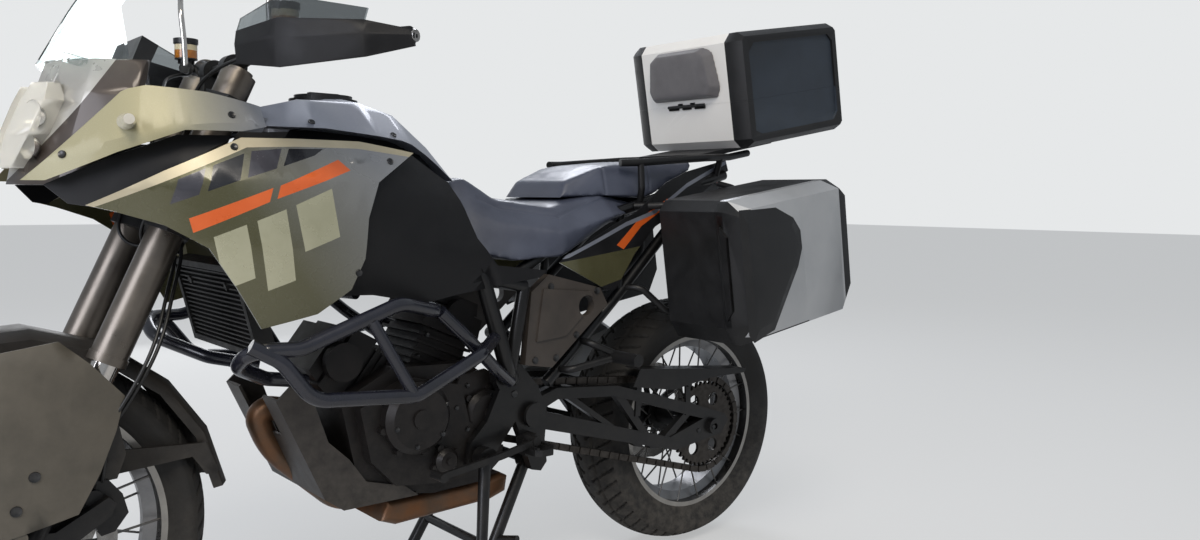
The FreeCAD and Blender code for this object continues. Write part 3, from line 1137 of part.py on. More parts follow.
pw = c("panel_wall")
fairing_line = [(-708, 888), (-604, 944), (-486, 1000), (-397, 1002), (-281, 1002), (-170, 986), (-262, 930),
                (-282, 867), (-288, 796), (-313, 743), (-374, 704), (-466, 684), (-506, 756), (-546, 820),
                (-606, 857), (-676, 880)]
fairing_stations = [
    (-720, ((-168, 960), (-172, 900), (-160, 860), (-150, 640))),
    (-600, ((-214, 1010), (-236, 920), (-226, 840), (-206, 640))),
    (-460, ((-226, 1020), (-274, 930), (-276, 820), (-252, 640))),
    (-300, ((-228, 1030), (-284, 930), (-282, 820), (-262, 640))),
    (-140, ((-212, 1030), (-256, 930), (-262, 820), (-246, 640))),
]
fairing = skin(fairing_stations, pw, fairing_line)
fairing_lugs = [rod(V(x, -150, z), V(x, -y, z), 9) for x, y, z in ((-330, 281, 880), (-300, 266, 960))]
fairing = less(joined(fairing, fairing_lugs), tank, tank_cover, frame_shape)
fairing = max(fairing.Solids, key=lambda q: q.Volume)
put("side_fairings", pair(fairing))

wing_line = [(-786, 926), (-650, 1070), (-620, 1078), (-533, 1072), (-440, 1056), (-440, 1020), (-486, 1010),
             (-575, 1008), (-668, 971), (-758, 926)]
wing_stations = [
    (-796, ((-96, 980), (-108, 940), (-112, 900))),
    (-700, ((-158, 1040), (-190, 980), (-198, 900))),
    (-600, ((-196, 1090), (-232, 1010), (-240, 900))),
    (-440, ((-170, 1090), (-226, 1020), (-246, 900))),
]
upper_wing = skin(wing_stations, pw, wing_line)
wing_lug = rod(V(-470, -150, 1022), V(-470, -232, 1022), 8)
wing_ear = side_plate([(-484, 1012), (-440, 1012), (-430, 1036), (-462, 1040)], -206, -200)
upper_wing = less(joined(upper_wing, wing_lug, wing_ear), tank_cover, tank, fairing)
upper_wing = max(upper_wing.Solids, key=lambda q: q.Volume)
put("upper_wings", pair(upper_wing))

vent_line = [(-754, 920), (-668, 965), (-576, 1002), (-486, 1004), (-606, 938), (-700, 886), (-724, 890)]
vent_stations = [
    (-780, ((-90, 980), (-98, 940), (-100, 850))),
    (-690, ((-140, 1030), (-158, 960), (-160, 850))),
    (-600, ((-176, 1040), (-204, 960), (-206, 850))),
    (-460, ((-200, 1040), (-240, 960), (-240, 850))),
]
vent = skin(vent_stations, pw, vent_line)
vent = less(vent, fairing, upper_wing)

knee_line = [(-158, 984), (-66, 934), (-36, 884), (-10, 824), (40, 768), (172, 752), (150, 738), (-56, 716),
             (-140, 704), (-258, 728), (-310, 730), (-284, 796), (-276, 867), (-256, 926)]
knee_stations = [
    (-330, ((-236, 1020), (-262, 900), (-262, 800), (-230, 690))),
    (-200, ((-216, 1020), (-254, 900), (-258, 800), (-232, 690))),
    (-60, ((-150, 1000), (-206, 900), (-226, 800), (-214, 690))),
    (60, ((-110, 1000), (-180, 880), (-204, 800), (-208, 690))),
    (190, ((-110, 1000), (-178, 880), (-196, 800), (-202, 690))),
]
knee = less(skin(knee_stations, pw, knee_line), fairing, frame_shape, tank, tank_cover)
put("dark_side_panels", Part.makeCompound([knee, mirrored(knee), vent, mirrored(vent)]))

# Nose: mask, lamp, screen on its stays, and the dash.
mask = loft([
    [(-786, 0, 920), (-770, -60, 920), (-735, -120, 920), (-700, -150, 920), (-690, -140, 920), (-690, 0, 920)],
    [(-770, 0, 990), (-752, -52, 990), (-715, -118, 990), (-668, -158, 990), (-656, -150, 990), (-680, 0, 990)],
    [(-742, 0, 1070), (-724, -50, 1070), (-690, -110, 1070), (-624, -158, 1070), (-612, -152, 1070), (-660, 0, 1070)],
    [(-722, 0, 1124), (-706, -46, 1124), (-672, -100, 1124), (-604, -142, 1124), (-596, -136, 1124), (-650, 0, 1124)],
], True)
lens = loft([
    [(-800, -14, 946), (-786, -46, 946), (-740, -40, 946), (-740, -14, 946)],
    [(-790, -30, 1000), (-766, -84, 1000), (-730, -74, 1000), (-730, -30, 1000)],
    [(-768, -36, 1054), (-744, -88, 1054), (-710, -78, 1054), (-710, -36, 1054)],
    [(-752, -44, 1084), (-734, -74, 1084), (-716, -70, 1084), (-716, -44, 1084)],
], True)
half_mask = less(mask, lens, upper_wing, vent, frame_shape)
put("headlight_mask", joined(half_mask, mirrored(half_mask)))
put("headlamps", pair(lens.cut(upper_wing)))

screen_rows = [
    (1112, ((-738, 0), (-722, -70), (-690, -130), (-640, -168))),
    (1200, ((-690, 0), (-674, -74), (-660, -108), (-642, -132))),
    (1300, ((-628, 0), (-612, -68), (-598, -96), (-580, -114))),
    (1380, ((-576, 0), (-562, -50), (-552, -70), (-540, -84))),
]
rows = []
for z, line in screen_rows:
    full = [(x, y, z) for x, y in reversed(line)] + [(x, -y, z) for x, y in line[1:]]
    back = [(x + 4, y, z) for x, y, z in reversed(full)]
    rows.append(full + back)
screen = loft(rows, True)
screen.translate(V(0, 0, 6))
screen_feet = [rod(V(-714, y, 1124), V(-670, y, 1115), 8) for y in (-84, 84)]
screen = joined(screen, screen_feet)
put("windscreen", screen.cut(laid("headlight_mask")))
cross_low = rod(V(-640, -128, 1010), V(-640, 128, 1010), 9)
post = bent([V(-640, -92, 1004), V(-632, -92, 1080), V(-652, -94, 1150), V(-640, -96, 1190), V(-672, -97, 1206)], 7, 30)
dash = slab([V(-628, -78, 1082), V(-600, -78, 1082), V(-566, -78, 1158), V(-592, -78, 1172)], V(0, 156, 0))
dash_face = slab([V(-603, -70, 1092), V(-598, -70, 1090), V(-568, -70, 1152), V(-573, -70, 1154)], V(0, 140, 0))
dash_arm = rod(V(-632, -92, 1092), V(-606, -70, 1100), 8)
nose_frame = joined(cross_low, post, mirrored(post), dash, dash_face, dash_arm, mirrored(dash_arm))
nose_frame = less(nose_frame, laid("headlight_mask"), laid("windscreen"), frame_shape)
put("instrument_cluster", max(nose_frame.Solids, key=lambda q: q.Volume))

# Seats, tail, rack and lights.
rider_seat = loft([
    [(-26, -70, 896), (-26, -56, 928), (-26, 56, 928), (-26, 70, 896), (-26, 96, 862), (-26, -96, 862)],
    [(48, -112, 868), (48, -66, 946), (48, 66, 946), (48, 112, 868), (48, 150, 786), (48, -150, 786)],
    [(110, -138, 850), (110, -92, 900), (110, 92, 900), (110, 138, 850), (110, 168, 772), (110, -168, 772)],
    [(230, -184, 830), (230, -130, 884), (230, 130, 884), (230, 184, 830), (230, 180, 778), (230, -180, 778)],
    [(380, -178, 866), (380, -120, 914), (380, 120, 914), (380, 178, 866), (380, 150, 846), (380, -150, 846)],
    [(500, -128, 880), (500, -96, 896), (500, 96, 896), (500, 128, 880), (500, 120, 870), (500, -120, 870)],
], True)
rear_frame_now = laid("rear_frame")
rider_seat = less(rider_seat, frame_shape, rear_frame_now, knee, mirrored(knee), tank_cover, tank)
put("rider_seat", rider_seat)
pax_seat = loft([
    [(276, -112, 906), (296, -96, 944), (296, 96, 944), (276, 112, 906)],
    [(380, -132, 912), (386, -116, 978), (386, 116, 978), (380, 132, 912)],
    [(520, -134, 906), (530, -118, 992), (530, 118, 992), (520, 134, 906)],
    [(700, -104, 980), (706, -90, 1002), (706, 90, 1002), (700, 104, 980)],
], True).cut(rider_seat).cut(rear_frame_now)
put("passenger_seat", pax_seat)

tail_line = [(214, 766), (240, 784), (410, 852), (512, 876), (620, 936), (800, 986), (812, 1000), (640, 968),
             (556, 940), (446, 872), (380, 846), (232, 776)]
tail_panel = skin([(190, ((-190, 1040), (-186, 700))), (420, ((-178, 1040), (-182, 700))),
                   (640, ((-140, 1040), (-160, 700))), (840, ((-110, 1040), (-126, 700)))], pw, [
                       (214, 766), (232, 780), (380, 850), (446, 874), (556, 944), (640, 972), (812, 1006),
                       (822, 980), (660, 900), (512, 840), (440, 780), (370, 690)])

rack = [bent([V(430, -136, 988), V(480, -152, 990), V(700, -156, 1008), V(806, -132, 1014), V(900, -110, 1028)], 9, 60),
        bent([V(806, -132, 1014), V(820, -60, 1014), V(820, 60, 1014), V(806, 132, 1014)], 9, 60)]
rail_feet = [bent([V(480, -152, 990), V(484, -152, 930), V(492, -136, 892)], 8, 20),
             rod(V(760, -144, 1010), V(766, -122, 960), 8)]
tc_at = V(805, 0, 1034)
tc_turn = FreeCAD.Rotation(V(0, 1, 0), -c("top_case_tilt"))
plate = top_plate([(-90, -112), (-90, 112), (210, 96), (210, -96)], -12, -gap)
plate = plate.cut(top_plate([(30, -60), (30, 60), (170, 50), (170, -50)], -30, 10))
plate.Placement = FreeCAD.Placement(tc_at, tc_turn)
left_rack = joined([rack[0]] + rail_feet)
carrier = joined(bent([V(760, -140, 944), V(770, -200, 930), V(820, -205, 760), V(700, -205, 660), V(520, -205, 640),
                       V(450, -190, 700), V(430, -152, 700)], c("rack_tube"), 40),
                 bent([V(470, -142, 888), V(520, -200, 890), V(770, -205, 930)], c("rack_tube"), 40),
                 [rod(V(x, -205, z), V(x, -c("pannier_inner"), z), 13)
                  for x, z in ((690, 658), (560, 645), (562, 897), (740, 925))])
racks = joined(left_rack, mirrored(left_rack), rack[1], plate, carrier, mirrored(carrier))
racks = less(racks, rear_frame_now, pax_seat, rider_seat)
put("luggage_racks", racks)
tail_panel = less(tail_panel, rider_seat, pax_seat, rear_frame_now, racks)
put("tail_panels", pair(tail_panel))

mudguard = loft([
    [(784, -86, 957), (784, -86, 963), (784, 86, 963), (784, 86, 957)],
    [(930, -80, 870), (936, -80, 876), (936, 80, 876), (930, 80, 870)],
    [(1000, -70, 740), (1006, -70, 742), (1006, 70, 742), (1000, 70, 740)],
    [(1030, -66, 640), (1036, -66, 641), (1036, 66, 641), (1030, 66, 640)],
], True)
mudguard = less(mudguard, rear_frame_now, racks)
put("rear_mudguard", mudguard)
plate_r = cross_plate([(-90, 0), (90, 0), (90, 140), (-90, 140)], 0, 3)
plate_r.rotate(V(0, 0, 0), V(0, 1, 0), -14)
plate_r.translate(V(1046, 0, 648))
plate_pins = [rod(V(x - 24, y, z), V(x, y, z + 4), 7) for x, y, z in ((1036, -50, 690), (1036, 50, 690), (1016, 0, 768))]
plate_r = joined(plate_r, plate_pins).cut(mudguard)
put("licence_plate", max(plate_r.Solids, key=lambda q: q.Volume))
lamp = loft([[(812, -60, 930), (812, 60, 930), (812, 60, 968), (812, -60, 968)],
             [(868, -44, 936), (868, 44, 936), (868, 44, 962), (868, -44, 962)]], True)
lamp = less(lamp, mudguard, racks, rear_frame_now)
lamp = max(lamp.Solids, key=lambda q: q.Volume)

pods = [loft([[(x0 + k * dx, y0 + k * dy - ry, z0 - rz), (x0 + k * dx, y0 + k * dy + ry, z0 - rz * 0.2),
               (x0 + k * dx, y0 + k * dy + ry * 0.6, z0 + rz), (x0 + k * dx, y0 + k * dy - ry * 0.8, z0 + rz * 0.8)]
              for k in (0, 1)], True) for x0, y0, z0, dx, dy, ry, rz in ((980, -150, 800, 26, -4, 34, 14),)]
pod_arm = rod(V(983, -60, 790), V(988, -130, 800), 7)
rear_pod = less(joined(pods + [pod_arm]), mudguard)
front_pod = taper(V(-652, -200, 1018), V(-660, -246, 1020), 14, 8)
front_pod = less(front_pod, upper_wing)
front_pod = max(front_pod.Solids, key=lambda q: abs(q.CenterOfMass.y))
put("signal_lights", Part.makeCompound([lamp, rear_pod, mirrored(rear_pod), front_pod, mirrored(front_pod)]))

# Case carriers and the luggage: hollow shells, each split from its lid.
cw = c("case_wall")
tl, tw, th = c("top_case_length"), c("top_case_width"), c("top_case_height")
ts = c("top_case_split")


def case_box(l, w, t, chamfer, grow=0.0):
    """A box with its four long edges cut off, shrunk or grown by an amount."""
    g = grow
    outline = [(-g, chamfer), (chamfer, -g), (l - chamfer, -g), (l + g, chamfer), (l + g, t - chamfer),
               (l - chamfer, t + g), (chamfer, t + g), (-g, t - chamfer)]
    k = chamfer
    half = w / 2 + g
    mid = slab([V(x, -half + k, z) for x, z in outline], V(0, 2 * (half - k), 0))
    small = [(min(max(x, k * 0.6), l - k * 0.6), min(max(z, k * 0.6), t - k * 0.6)) for x, z in outline]
    caps = []
    for s in (-1, 1):
        caps.append(loft([[(x, s * (half - k), z) for x, z in outline], [(x, s * half, z) for x, z in small]], True))
    return mid.multiFuse(caps).removeSplitter()


outer_case = case_box(tl, tw, th, 22)
room = case_box(tl - 2 * cw, tw - 2 * cw - 2 * c("case_recess"), th - 2 * cw, 20)
room.translate(V(cw, 0, cw))
shell = outer_case.cut(room)
recess = c("case_recess")
panel_line = [(34, 40), (56, 30), (tl - 50, 30), (tl - 30, 52), (tl - 30, th - 48), (tl - 48, th - 30),
              (56, th - 30), (34, th - 52)]
for s in (-1, 1):
    shell = shell.cut(slab([V(x, s * (tw / 2 - recess), z) for x, z in panel_line], V(0, s * 3 * recess, 0)))
seam = c("seam")


def knuckles(spans, r, bore=0.0):
    """Hinge barrels along Y at the origin, one for each span, with an optional bore."""
    tubes = [rod(V(0, a, 0), V(0, b, 0), r) for a, b in spans]
    one = tubes[0].multiFuse(tubes[1:]) if len(tubes) > 1 else tubes[0]
    return one.cut(rod(V(0, -300, 0), V(0, 300, 0), bore)) if bore else one


def hinge(spans_fixed, spans_moving, pin_r, r, wall_way):
    """The fixed barrels with their pin, and the moving ones that turn on it, with leaves along wall_way."""
    pin = rod(V(0, spans_fixed[0][0], 0), V(0, spans_fixed[-1][1], 0), pin_r)
    fixed = joined(knuckles(spans_fixed, r), pin)
    fixed_leaf = [slab([V(0, a, 0), V(0, b, 0), V(0, b, 0) - wall_way * (r + 5), V(0, a, 0) - wall_way * (r + 5)],
                       V(5, 0, 0)) for a, b in spans_fixed]
    moving = knuckles(spans_moving, r)
    moving_leaf = [slab([V(0, a, 0), V(0, b, 0), V(0, b, 0) + wall_way * (r + 4), V(0, a, 0) + wall_way * (r + 4)],
                        V(5, 0, 0)) for a, b in spans_moving]
    moving = joined(moving, moving_leaf).cut(rod(V(0, -300, 0), V(0, 300, 0), pin_r + fit))
    return joined(fixed, fixed_leaf), moving


FIXED_SPANS = ((-66, -30), (-15, 15), (30, 66))
MOVING_SPANS = ((-29.6, -15.4), (15.4, 29.6))
hinge_fixed, hinge_moving = hinge(FIXED_SPANS, MOVING_SPANS, 2.5, 4, V(0, 0, 1))
hinge_fixed.translate(V(-4.3, 0, ts))
hinge_moving.translate(V(-4.3, 0, ts))
knuckle_room = joined([rod(V(-4.3, a - 0.3, ts), V(-4.3, b + 0.3, ts), 4.6) for a, b in MOVING_SPANS])
pin_core = rod(V(-4.3, -60, ts), V(-4.3, 60, ts), 2.5)
base_part = shell.common(Part.makeBox(tl + 200, tw + 200, ts - seam / 2, V(-100, -tw / 2 - 100, 0)))
lid_part = shell.common(Part.makeBox(tl + 200, tw + 200, th, V(-100, -tw / 2 - 100, ts + seam / 2)))
base_part = joined(base_part, hinge_fixed.cut(outer_case)).cut(knuckle_room.cut(pin_core))
lid_part = joined(lid_part, hinge_moving.cut(outer_case))
put("top_case_base", base_part, tc_at, tc_turn)
put("top_case_lid", lid_part, tc_at, tc_turn)
pad_line = [(-116, ts + 14), (116, ts + 14), (128, ts + 40), (112, th - 40), (84, th - 24), (-84, th - 24),
            (-112, th - 40), (-128, ts + 40)]
pad = loft([[(-gap, y, z) for y, z in pad_line],
            [(-26, y * 0.86, ts + 78 + (z - ts - 78) * 0.84) for y, z in pad_line]], True)
put("backrest_pad", pad, tc_at, tc_turn)

pl, pwid, ph = c("pannier_length"), c("pannier_width"), c("pannier_height")
ps = c("pannier_split")


def pannier_outline(g, cut):
    return [(-g, cut + 20), (cut, -g), (pl - cut - 20, -g), (pl + g, cut + 40), (pl + g, ph - cut),
            (pl - cut, ph + g), (cut, ph + g), (-g, ph - cut)]


def pannier_body(shrink):
    """The outer form: a chamfered box whose outer face is smaller than its seam."""
    o = pannier_outline(-shrink, 22)
    slim = [(pl / 2 + (x - pl / 2) * 0.9, ph / 2 + (z - ph / 2) * 0.88) for x, z in o]
    deep = pwid - 2 * shrink
    parts = [loft([[(x, -shrink, z) for x, z in o], [(x, -shrink - deep * 0.8, z) for x, z in o]], True),
             loft([[(x, -shrink - deep * 0.8, z) for x, z in o], [(x, -shrink - deep, z) for x, z in slim]], True)]
    return parts[0].fuse(parts[1]).removeSplitter()


pannier_shell = pannier_body(0).cut(pannier_body(cw))
bulge_line = [(-1, 306), (118, 296), (176, 264), (198, 232), (200, 190), (182, 152), (84, 26), (14, 14), (-1, 34)]
bulge_rise = [(16, 276), (112, 268), (158, 244), (172, 220), (172, 192), (158, 162), (76, 50), (26, 44), (16, 60)]
bulge = loft([[(x, -pwid + 0.5, z) for x, z in bulge_line], [(x, -pwid - 8, z) for x, z in bulge_rise]], True)
front_rib = slab([V(-6, y, z) for y, z in ((-ps - 14, 60), (-ps - 14, 270), (-pwid + 40, 246), (-pwid + 40, 84))],
                 V(7, 0, 0))
inner_half = pannier_shell.common(Part.makeBox(pl + 100, ps - seam / 2, ph + 100, V(-50, -ps + seam / 2, -50)))
outer_half = pannier_shell.common(Part.makeBox(pl + 100, pwid, ph + 100, V(-50, -ps - seam / 2 - pwid, -50)))
outer_half = joined(outer_half, bulge.cut(pannier_body(cw)), front_rib)
turn_side = FreeCAD.Placement(V(pl / 2, -ps, -4.3), FreeCAD.Rotation(V(0, 0, 1), 90))
side_fixed, side_moving = hinge(FIXED_SPANS, MOVING_SPANS, 2.5, 4, V(0, 0, 1))
lay = FreeCAD.Placement(V(0, 0, 0), FreeCAD.Rotation(V(0, 1, 0), -90))
side_fixed.Placement = turn_side.multiply(lay)
side_moving.Placement = turn_side.multiply(lay)
inner_half = joined(inner_half, side_fixed.cut(pannier_body(0)))
outer_half = joined(outer_half, side_moving.cut(pannier_body(0)))
pn_turn = FreeCAD.Rotation(V(0, 1, 0), -c("pannier_tilt"))
pn_at = V(520, -c("pannier_inner"), 580)
put("left_pannier", inner_half, pn_at, pn_turn)
put("left_pannier_lid", outer_half, pn_at, pn_turn)
pn_right = V(520, c("pannier_inner"), 580)
put("right_pannier", mirrored(inner_half), pn_right, pn_turn)
put("right_pannier_lid", mirrored(outer_half), pn_right, pn_turn)

doc.recompute()
for obj in doc.Objects:
    if "Invalid" in obj.State or "Error" in obj.State:
        raise RuntimeError("failed: " + obj.Label)
bad = [label for label, obj in NODES.items() if obj.Shape.isNull() or not obj.Shape.isValid()]
if bad:
    raise RuntimeError("bad shapes: " + ", ".join(bad))
os.makedirs("parts", exist_ok=True)
for label, obj in NODES.items():
    obj.Shape.exportStep("parts/%s.step" % label)
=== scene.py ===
import math

import bmesh
import bpy
import numpy as np
from mathutils import Matrix, Vector
from mathutils.bvhtree import BVHTree


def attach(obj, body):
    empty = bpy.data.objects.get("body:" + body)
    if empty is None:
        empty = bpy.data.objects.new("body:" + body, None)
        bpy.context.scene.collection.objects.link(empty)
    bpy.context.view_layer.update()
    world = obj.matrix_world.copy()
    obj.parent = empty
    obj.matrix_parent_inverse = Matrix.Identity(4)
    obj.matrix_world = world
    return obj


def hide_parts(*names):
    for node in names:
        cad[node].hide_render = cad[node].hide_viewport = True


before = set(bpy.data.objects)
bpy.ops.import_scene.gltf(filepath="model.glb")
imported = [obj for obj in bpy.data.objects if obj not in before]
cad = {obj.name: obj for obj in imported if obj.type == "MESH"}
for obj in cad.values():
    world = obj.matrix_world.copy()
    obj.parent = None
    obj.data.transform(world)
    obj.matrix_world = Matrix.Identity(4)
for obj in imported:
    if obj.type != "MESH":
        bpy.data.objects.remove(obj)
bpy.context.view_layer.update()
scene = bpy.context.scene

# Places below are in millimetres from the point that the layout starts at, 18 mm ahead of the frame's own.
SHIFT = -18
FRONT_AXLE = (-810, 0, 325)
REAR_AXLE = (750, 0, 324)


def at(x, y, z):
    """A place in the layout's millimetres, as the frame has it in metres."""
    return Vector((x + SHIFT, y, z)) / 1000


def mirrored(places):
    """The same places on the other side of the middle."""
    return [(x, -y, z) for x, y, z in places]


def srgb(code):
    """A hex colour turned to linear light."""
    parts = [int(code[k:k + 2], 16) / 255 for k in (1, 3, 5)]
    return tuple(p / 12.92 if p <= 0.04045 else ((p + 0.055) / 1.055) ** 2.4 for p in parts) + (1,)


# The camera stands where a fit to the wheels, the fork and the cases puts the photograph's own.
CAMERA_PLACE = (-1082, -1852, 906)
CAMERA_YAW = 49.74
CAMERA_PITCH = -4.2
CAMERA_ROLL = 0.49
LENS = 29.4
SENSOR = 36


def aim(position, yaw, pitch, roll):
    """A matrix that looks along yaw and pitch, turned by roll."""
    look = Vector((math.cos(yaw) * math.cos(pitch), math.sin(yaw) * math.cos(pitch), math.sin(pitch)))
    level_right = Vector((math.sin(yaw), -math.cos(yaw), 0))
    level_up = level_right.cross(look)
    right = math.cos(roll) * level_right + math.sin(roll) * level_up
    up = -math.sin(roll) * level_right + math.cos(roll) * level_up
    turn = Matrix((right, up, -look)).transposed().to_4x4()
    return Matrix.Translation(position) @ turn


optics = bpy.data.cameras.new("camera")
optics.sensor_width = SENSOR
optics.lens = LENS
optics.clip_start = 0.02
camera = bpy.data.objects.new("camera", optics)
camera.matrix_world = aim(at(*CAMERA_PLACE), math.radians(CAMERA_YAW), math.radians(CAMERA_PITCH),
                          math.radians(CAMERA_ROLL))
scene.collection.objects.link(camera)
scene.camera = camera

# Soft round lamps: name, place in metres, diameter in metres, power in watts and colour.
LAMP_TARGET = (0, 0, 0.6)
LAMPS = (
    ("key_light", (-1.9, -3.1, 4.4), 2.2, 150, "#fff6e8"),
    ("fill_light", (-4.3, -1.5, 2.2), 2.6, 104, "#f0f3ff"),
    ("back_light", (2.4, 3.2, 3.8), 1.8, 60, "#f4f7ff"),
    ("far_side_light", (0.4, 4.2, 1.4), 2.4, 22, "#ffffff"),
)
for name, place, diameter, power, colour in LAMPS:
    disc = bpy.data.lights.new(name, "AREA")
    disc.shape = "DISK"
    disc.size = diameter
    disc.energy = power
    disc.color = srgb(colour)[:3]
    light = bpy.data.objects.new(name, disc)
    way = Vector(LAMP_TARGET) - Vector(place)
    light.matrix_world = Matrix.Translation(place) @ way.to_track_quat("-Z", "Y").to_matrix().to_4x4()
    scene.collection.objects.link(light)


def add(tree, kind, sockets=(), **settings):
    """A node with its settings; each socket gets a value, or a link where it is given another socket."""
    node = tree.nodes.new(kind)
    for key, value in settings.items():
        setattr(node, key, value)
    for key, value in dict(sockets).items():
        if isinstance(value, bpy.types.NodeSocket):
            tree.links.new(value, node.inputs[key])
        else:
            node.inputs[key].default_value = value
    return node


def white_to_camera(tree, seen, lit):
    """One shader where the camera looks, through glass too, and another for the light that falls."""
    path = add(tree, "ShaderNodeLightPath")
    either = add(tree, "ShaderNodeMath", {0: path.outputs["Is Camera Ray"],
                                          1: path.outputs["Is Transmission Ray"]}, operation="MAXIMUM")
    return add(tree, "ShaderNodeMixShader", {0: either.outputs[0], 1: lit.outputs[0], 2: seen.outputs[0]})


# The studio's air is nearly white to the camera, and lights the object less than that.
SEEN_STRENGTH = 0.9
LIT_STRENGTH = 0.5
world = bpy.data.worlds.new("studio_air")
world.use_nodes = True
air = world.node_tree
air.nodes.clear()
seen_air = add(air, "ShaderNodeBackground", {"Color": srgb("#f1f3f4"), "Strength": SEEN_STRENGTH})
lit_air = add(air, "ShaderNodeBackground", {"Color": srgb("#dfe6ee"), "Strength": LIT_STRENGTH})
add(air, "ShaderNodeOutputWorld", {"Surface": white_to_camera(air, seen_air, lit_air).outputs[0]})
scene.world = world
scene.view_settings.view_transform = "Standard"


# Finishes.
def new_tree(name):
    """A material with an empty node tree."""
    material = bpy.data.materials.new(name)
    material.use_nodes = True
    material.node_tree.nodes.clear()
    return material, material.node_tree


def object_place(tree, stretch=(1, 1, 1)):
    """Object coordinates in millimetres, stretched for grain that runs one way."""
    place = add(tree, "ShaderNodeTexCoord")
    return add(tree, "ShaderNodeMapping", {"Vector": place.outputs["Object"],
                                           "Scale": [1000 * s for s in stretch]}).outputs[0]


ROAD_DUST = "#8d857a"
DUST_DRIFT = 26
FLECK_WHITE = "#ffffff"
COAT_ROUGHNESS = 0.08


def finish(name, colour, second=None, fade=None, patch=60, blur=0.6, metallic=0.0, rough=0.5, swing=0.08,
           grain=1.2, relief=0.06, dust=0.0, dust_top=700, coat=0.0, brush=None, fleck=0.0, clear=0.0,
           ior=1.5, sheen=0.0, gleam=0.5):
    """A finish in layers: a base that drifts between two colours over patches, or fades from one into the
    other along the machine; grain with its relief; a roughness that swings with the patches; and road dust
    that thins upward. A fade is its first and last x, and how much it also goes by height."""
    material, tree = new_tree(name)
    place = object_place(tree)
    parts = add(tree, "ShaderNodeSeparateXYZ", {0: place}) if fade or dust else None
    patches = add(tree, "ShaderNodeTexNoise", {"Vector": place, "Scale": 1 / patch, "Detail": 4,
                                               "Roughness": blur}).outputs["Fac"]
    stretched = object_place(tree, brush) if brush else place
    fine = add(tree, "ShaderNodeTexNoise", {"Vector": stretched, "Scale": 1 / grain,
                                            "Detail": 3}).outputs["Fac"]
    layers = []
    if fade:
        from_x, to_x, lean = fade
        along = add(tree, "ShaderNodeMath", {0: parts.outputs["Z"], 1: lean, 2: parts.outputs["X"]},
                    operation="MULTIPLY_ADD").outputs[0]
        share = add(tree, "ShaderNodeMapRange", {"Value": along, "From Min": from_x + SHIFT,
                                                 "From Max": to_x + SHIFT})
        layers.append((share.outputs["Result"], second))
    elif second:
        share = add(tree, "ShaderNodeMapRange", {"Value": patches, "From Min": 0.32, "From Max": 0.68})
        layers.append((share.outputs["Result"], second))
    if fleck:
        sparks = add(tree, "ShaderNodeMapRange", {"Value": fine, "From Min": 0.58, "From Max": 0.72,
                                                  "To Max": fleck})
        layers.append((sparks.outputs["Result"], FLECK_WHITE))
    if dust:
        low = add(tree, "ShaderNodeMapRange", {"Value": parts.outputs["Z"], "From Max": dust_top,
                                               "To Min": dust, "To Max": 0})
        drift = add(tree, "ShaderNodeTexNoise", {"Vector": place, "Scale": 1 / DUST_DRIFT, "Detail": 6,
                                                 "Roughness": 0.7})
        thin = add(tree, "ShaderNodeMapRange", {"Value": drift.outputs["Fac"], "From Min": 0.36,
                                                "From Max": 0.7})
        film = add(tree, "ShaderNodeMath", {0: low.outputs["Result"], 1: thin.outputs["Result"]},
                   operation="MULTIPLY")
        layers.append((film.outputs[0], ROAD_DUST))
    base = srgb(colour)
    for share, over in layers:
        base = add(tree, "ShaderNodeMix", {0: share, 6: base, 7: srgb(over)}, data_type="RGBA").outputs[2]
    shine = add(tree, "ShaderNodeMapRange", {
        "Value": patches, "From Min": 0.3, "From Max": 0.7, "To Min": max(rough - swing, 0.02),
        "To Max": min(rough + swing, 1)})
    bump = add(tree, "ShaderNodeBump", {"Height": fine, "Strength": relief, "Distance": grain / 1000})
    shader = add(tree, "ShaderNodeBsdfPrincipled", {
        "Base Color": base, "Roughness": shine.outputs["Result"], "Metallic": metallic,
        "Normal": bump.outputs[0], "Coat Weight": coat, "Coat Roughness": COAT_ROUGHNESS,
        "Transmission Weight": clear, "IOR": ior, "Sheen Weight": sheen, "Specular IOR Level": gleam})
    add(tree, "ShaderNodeOutputMaterial", {"Surface": shader.outputs[0]})
    return material


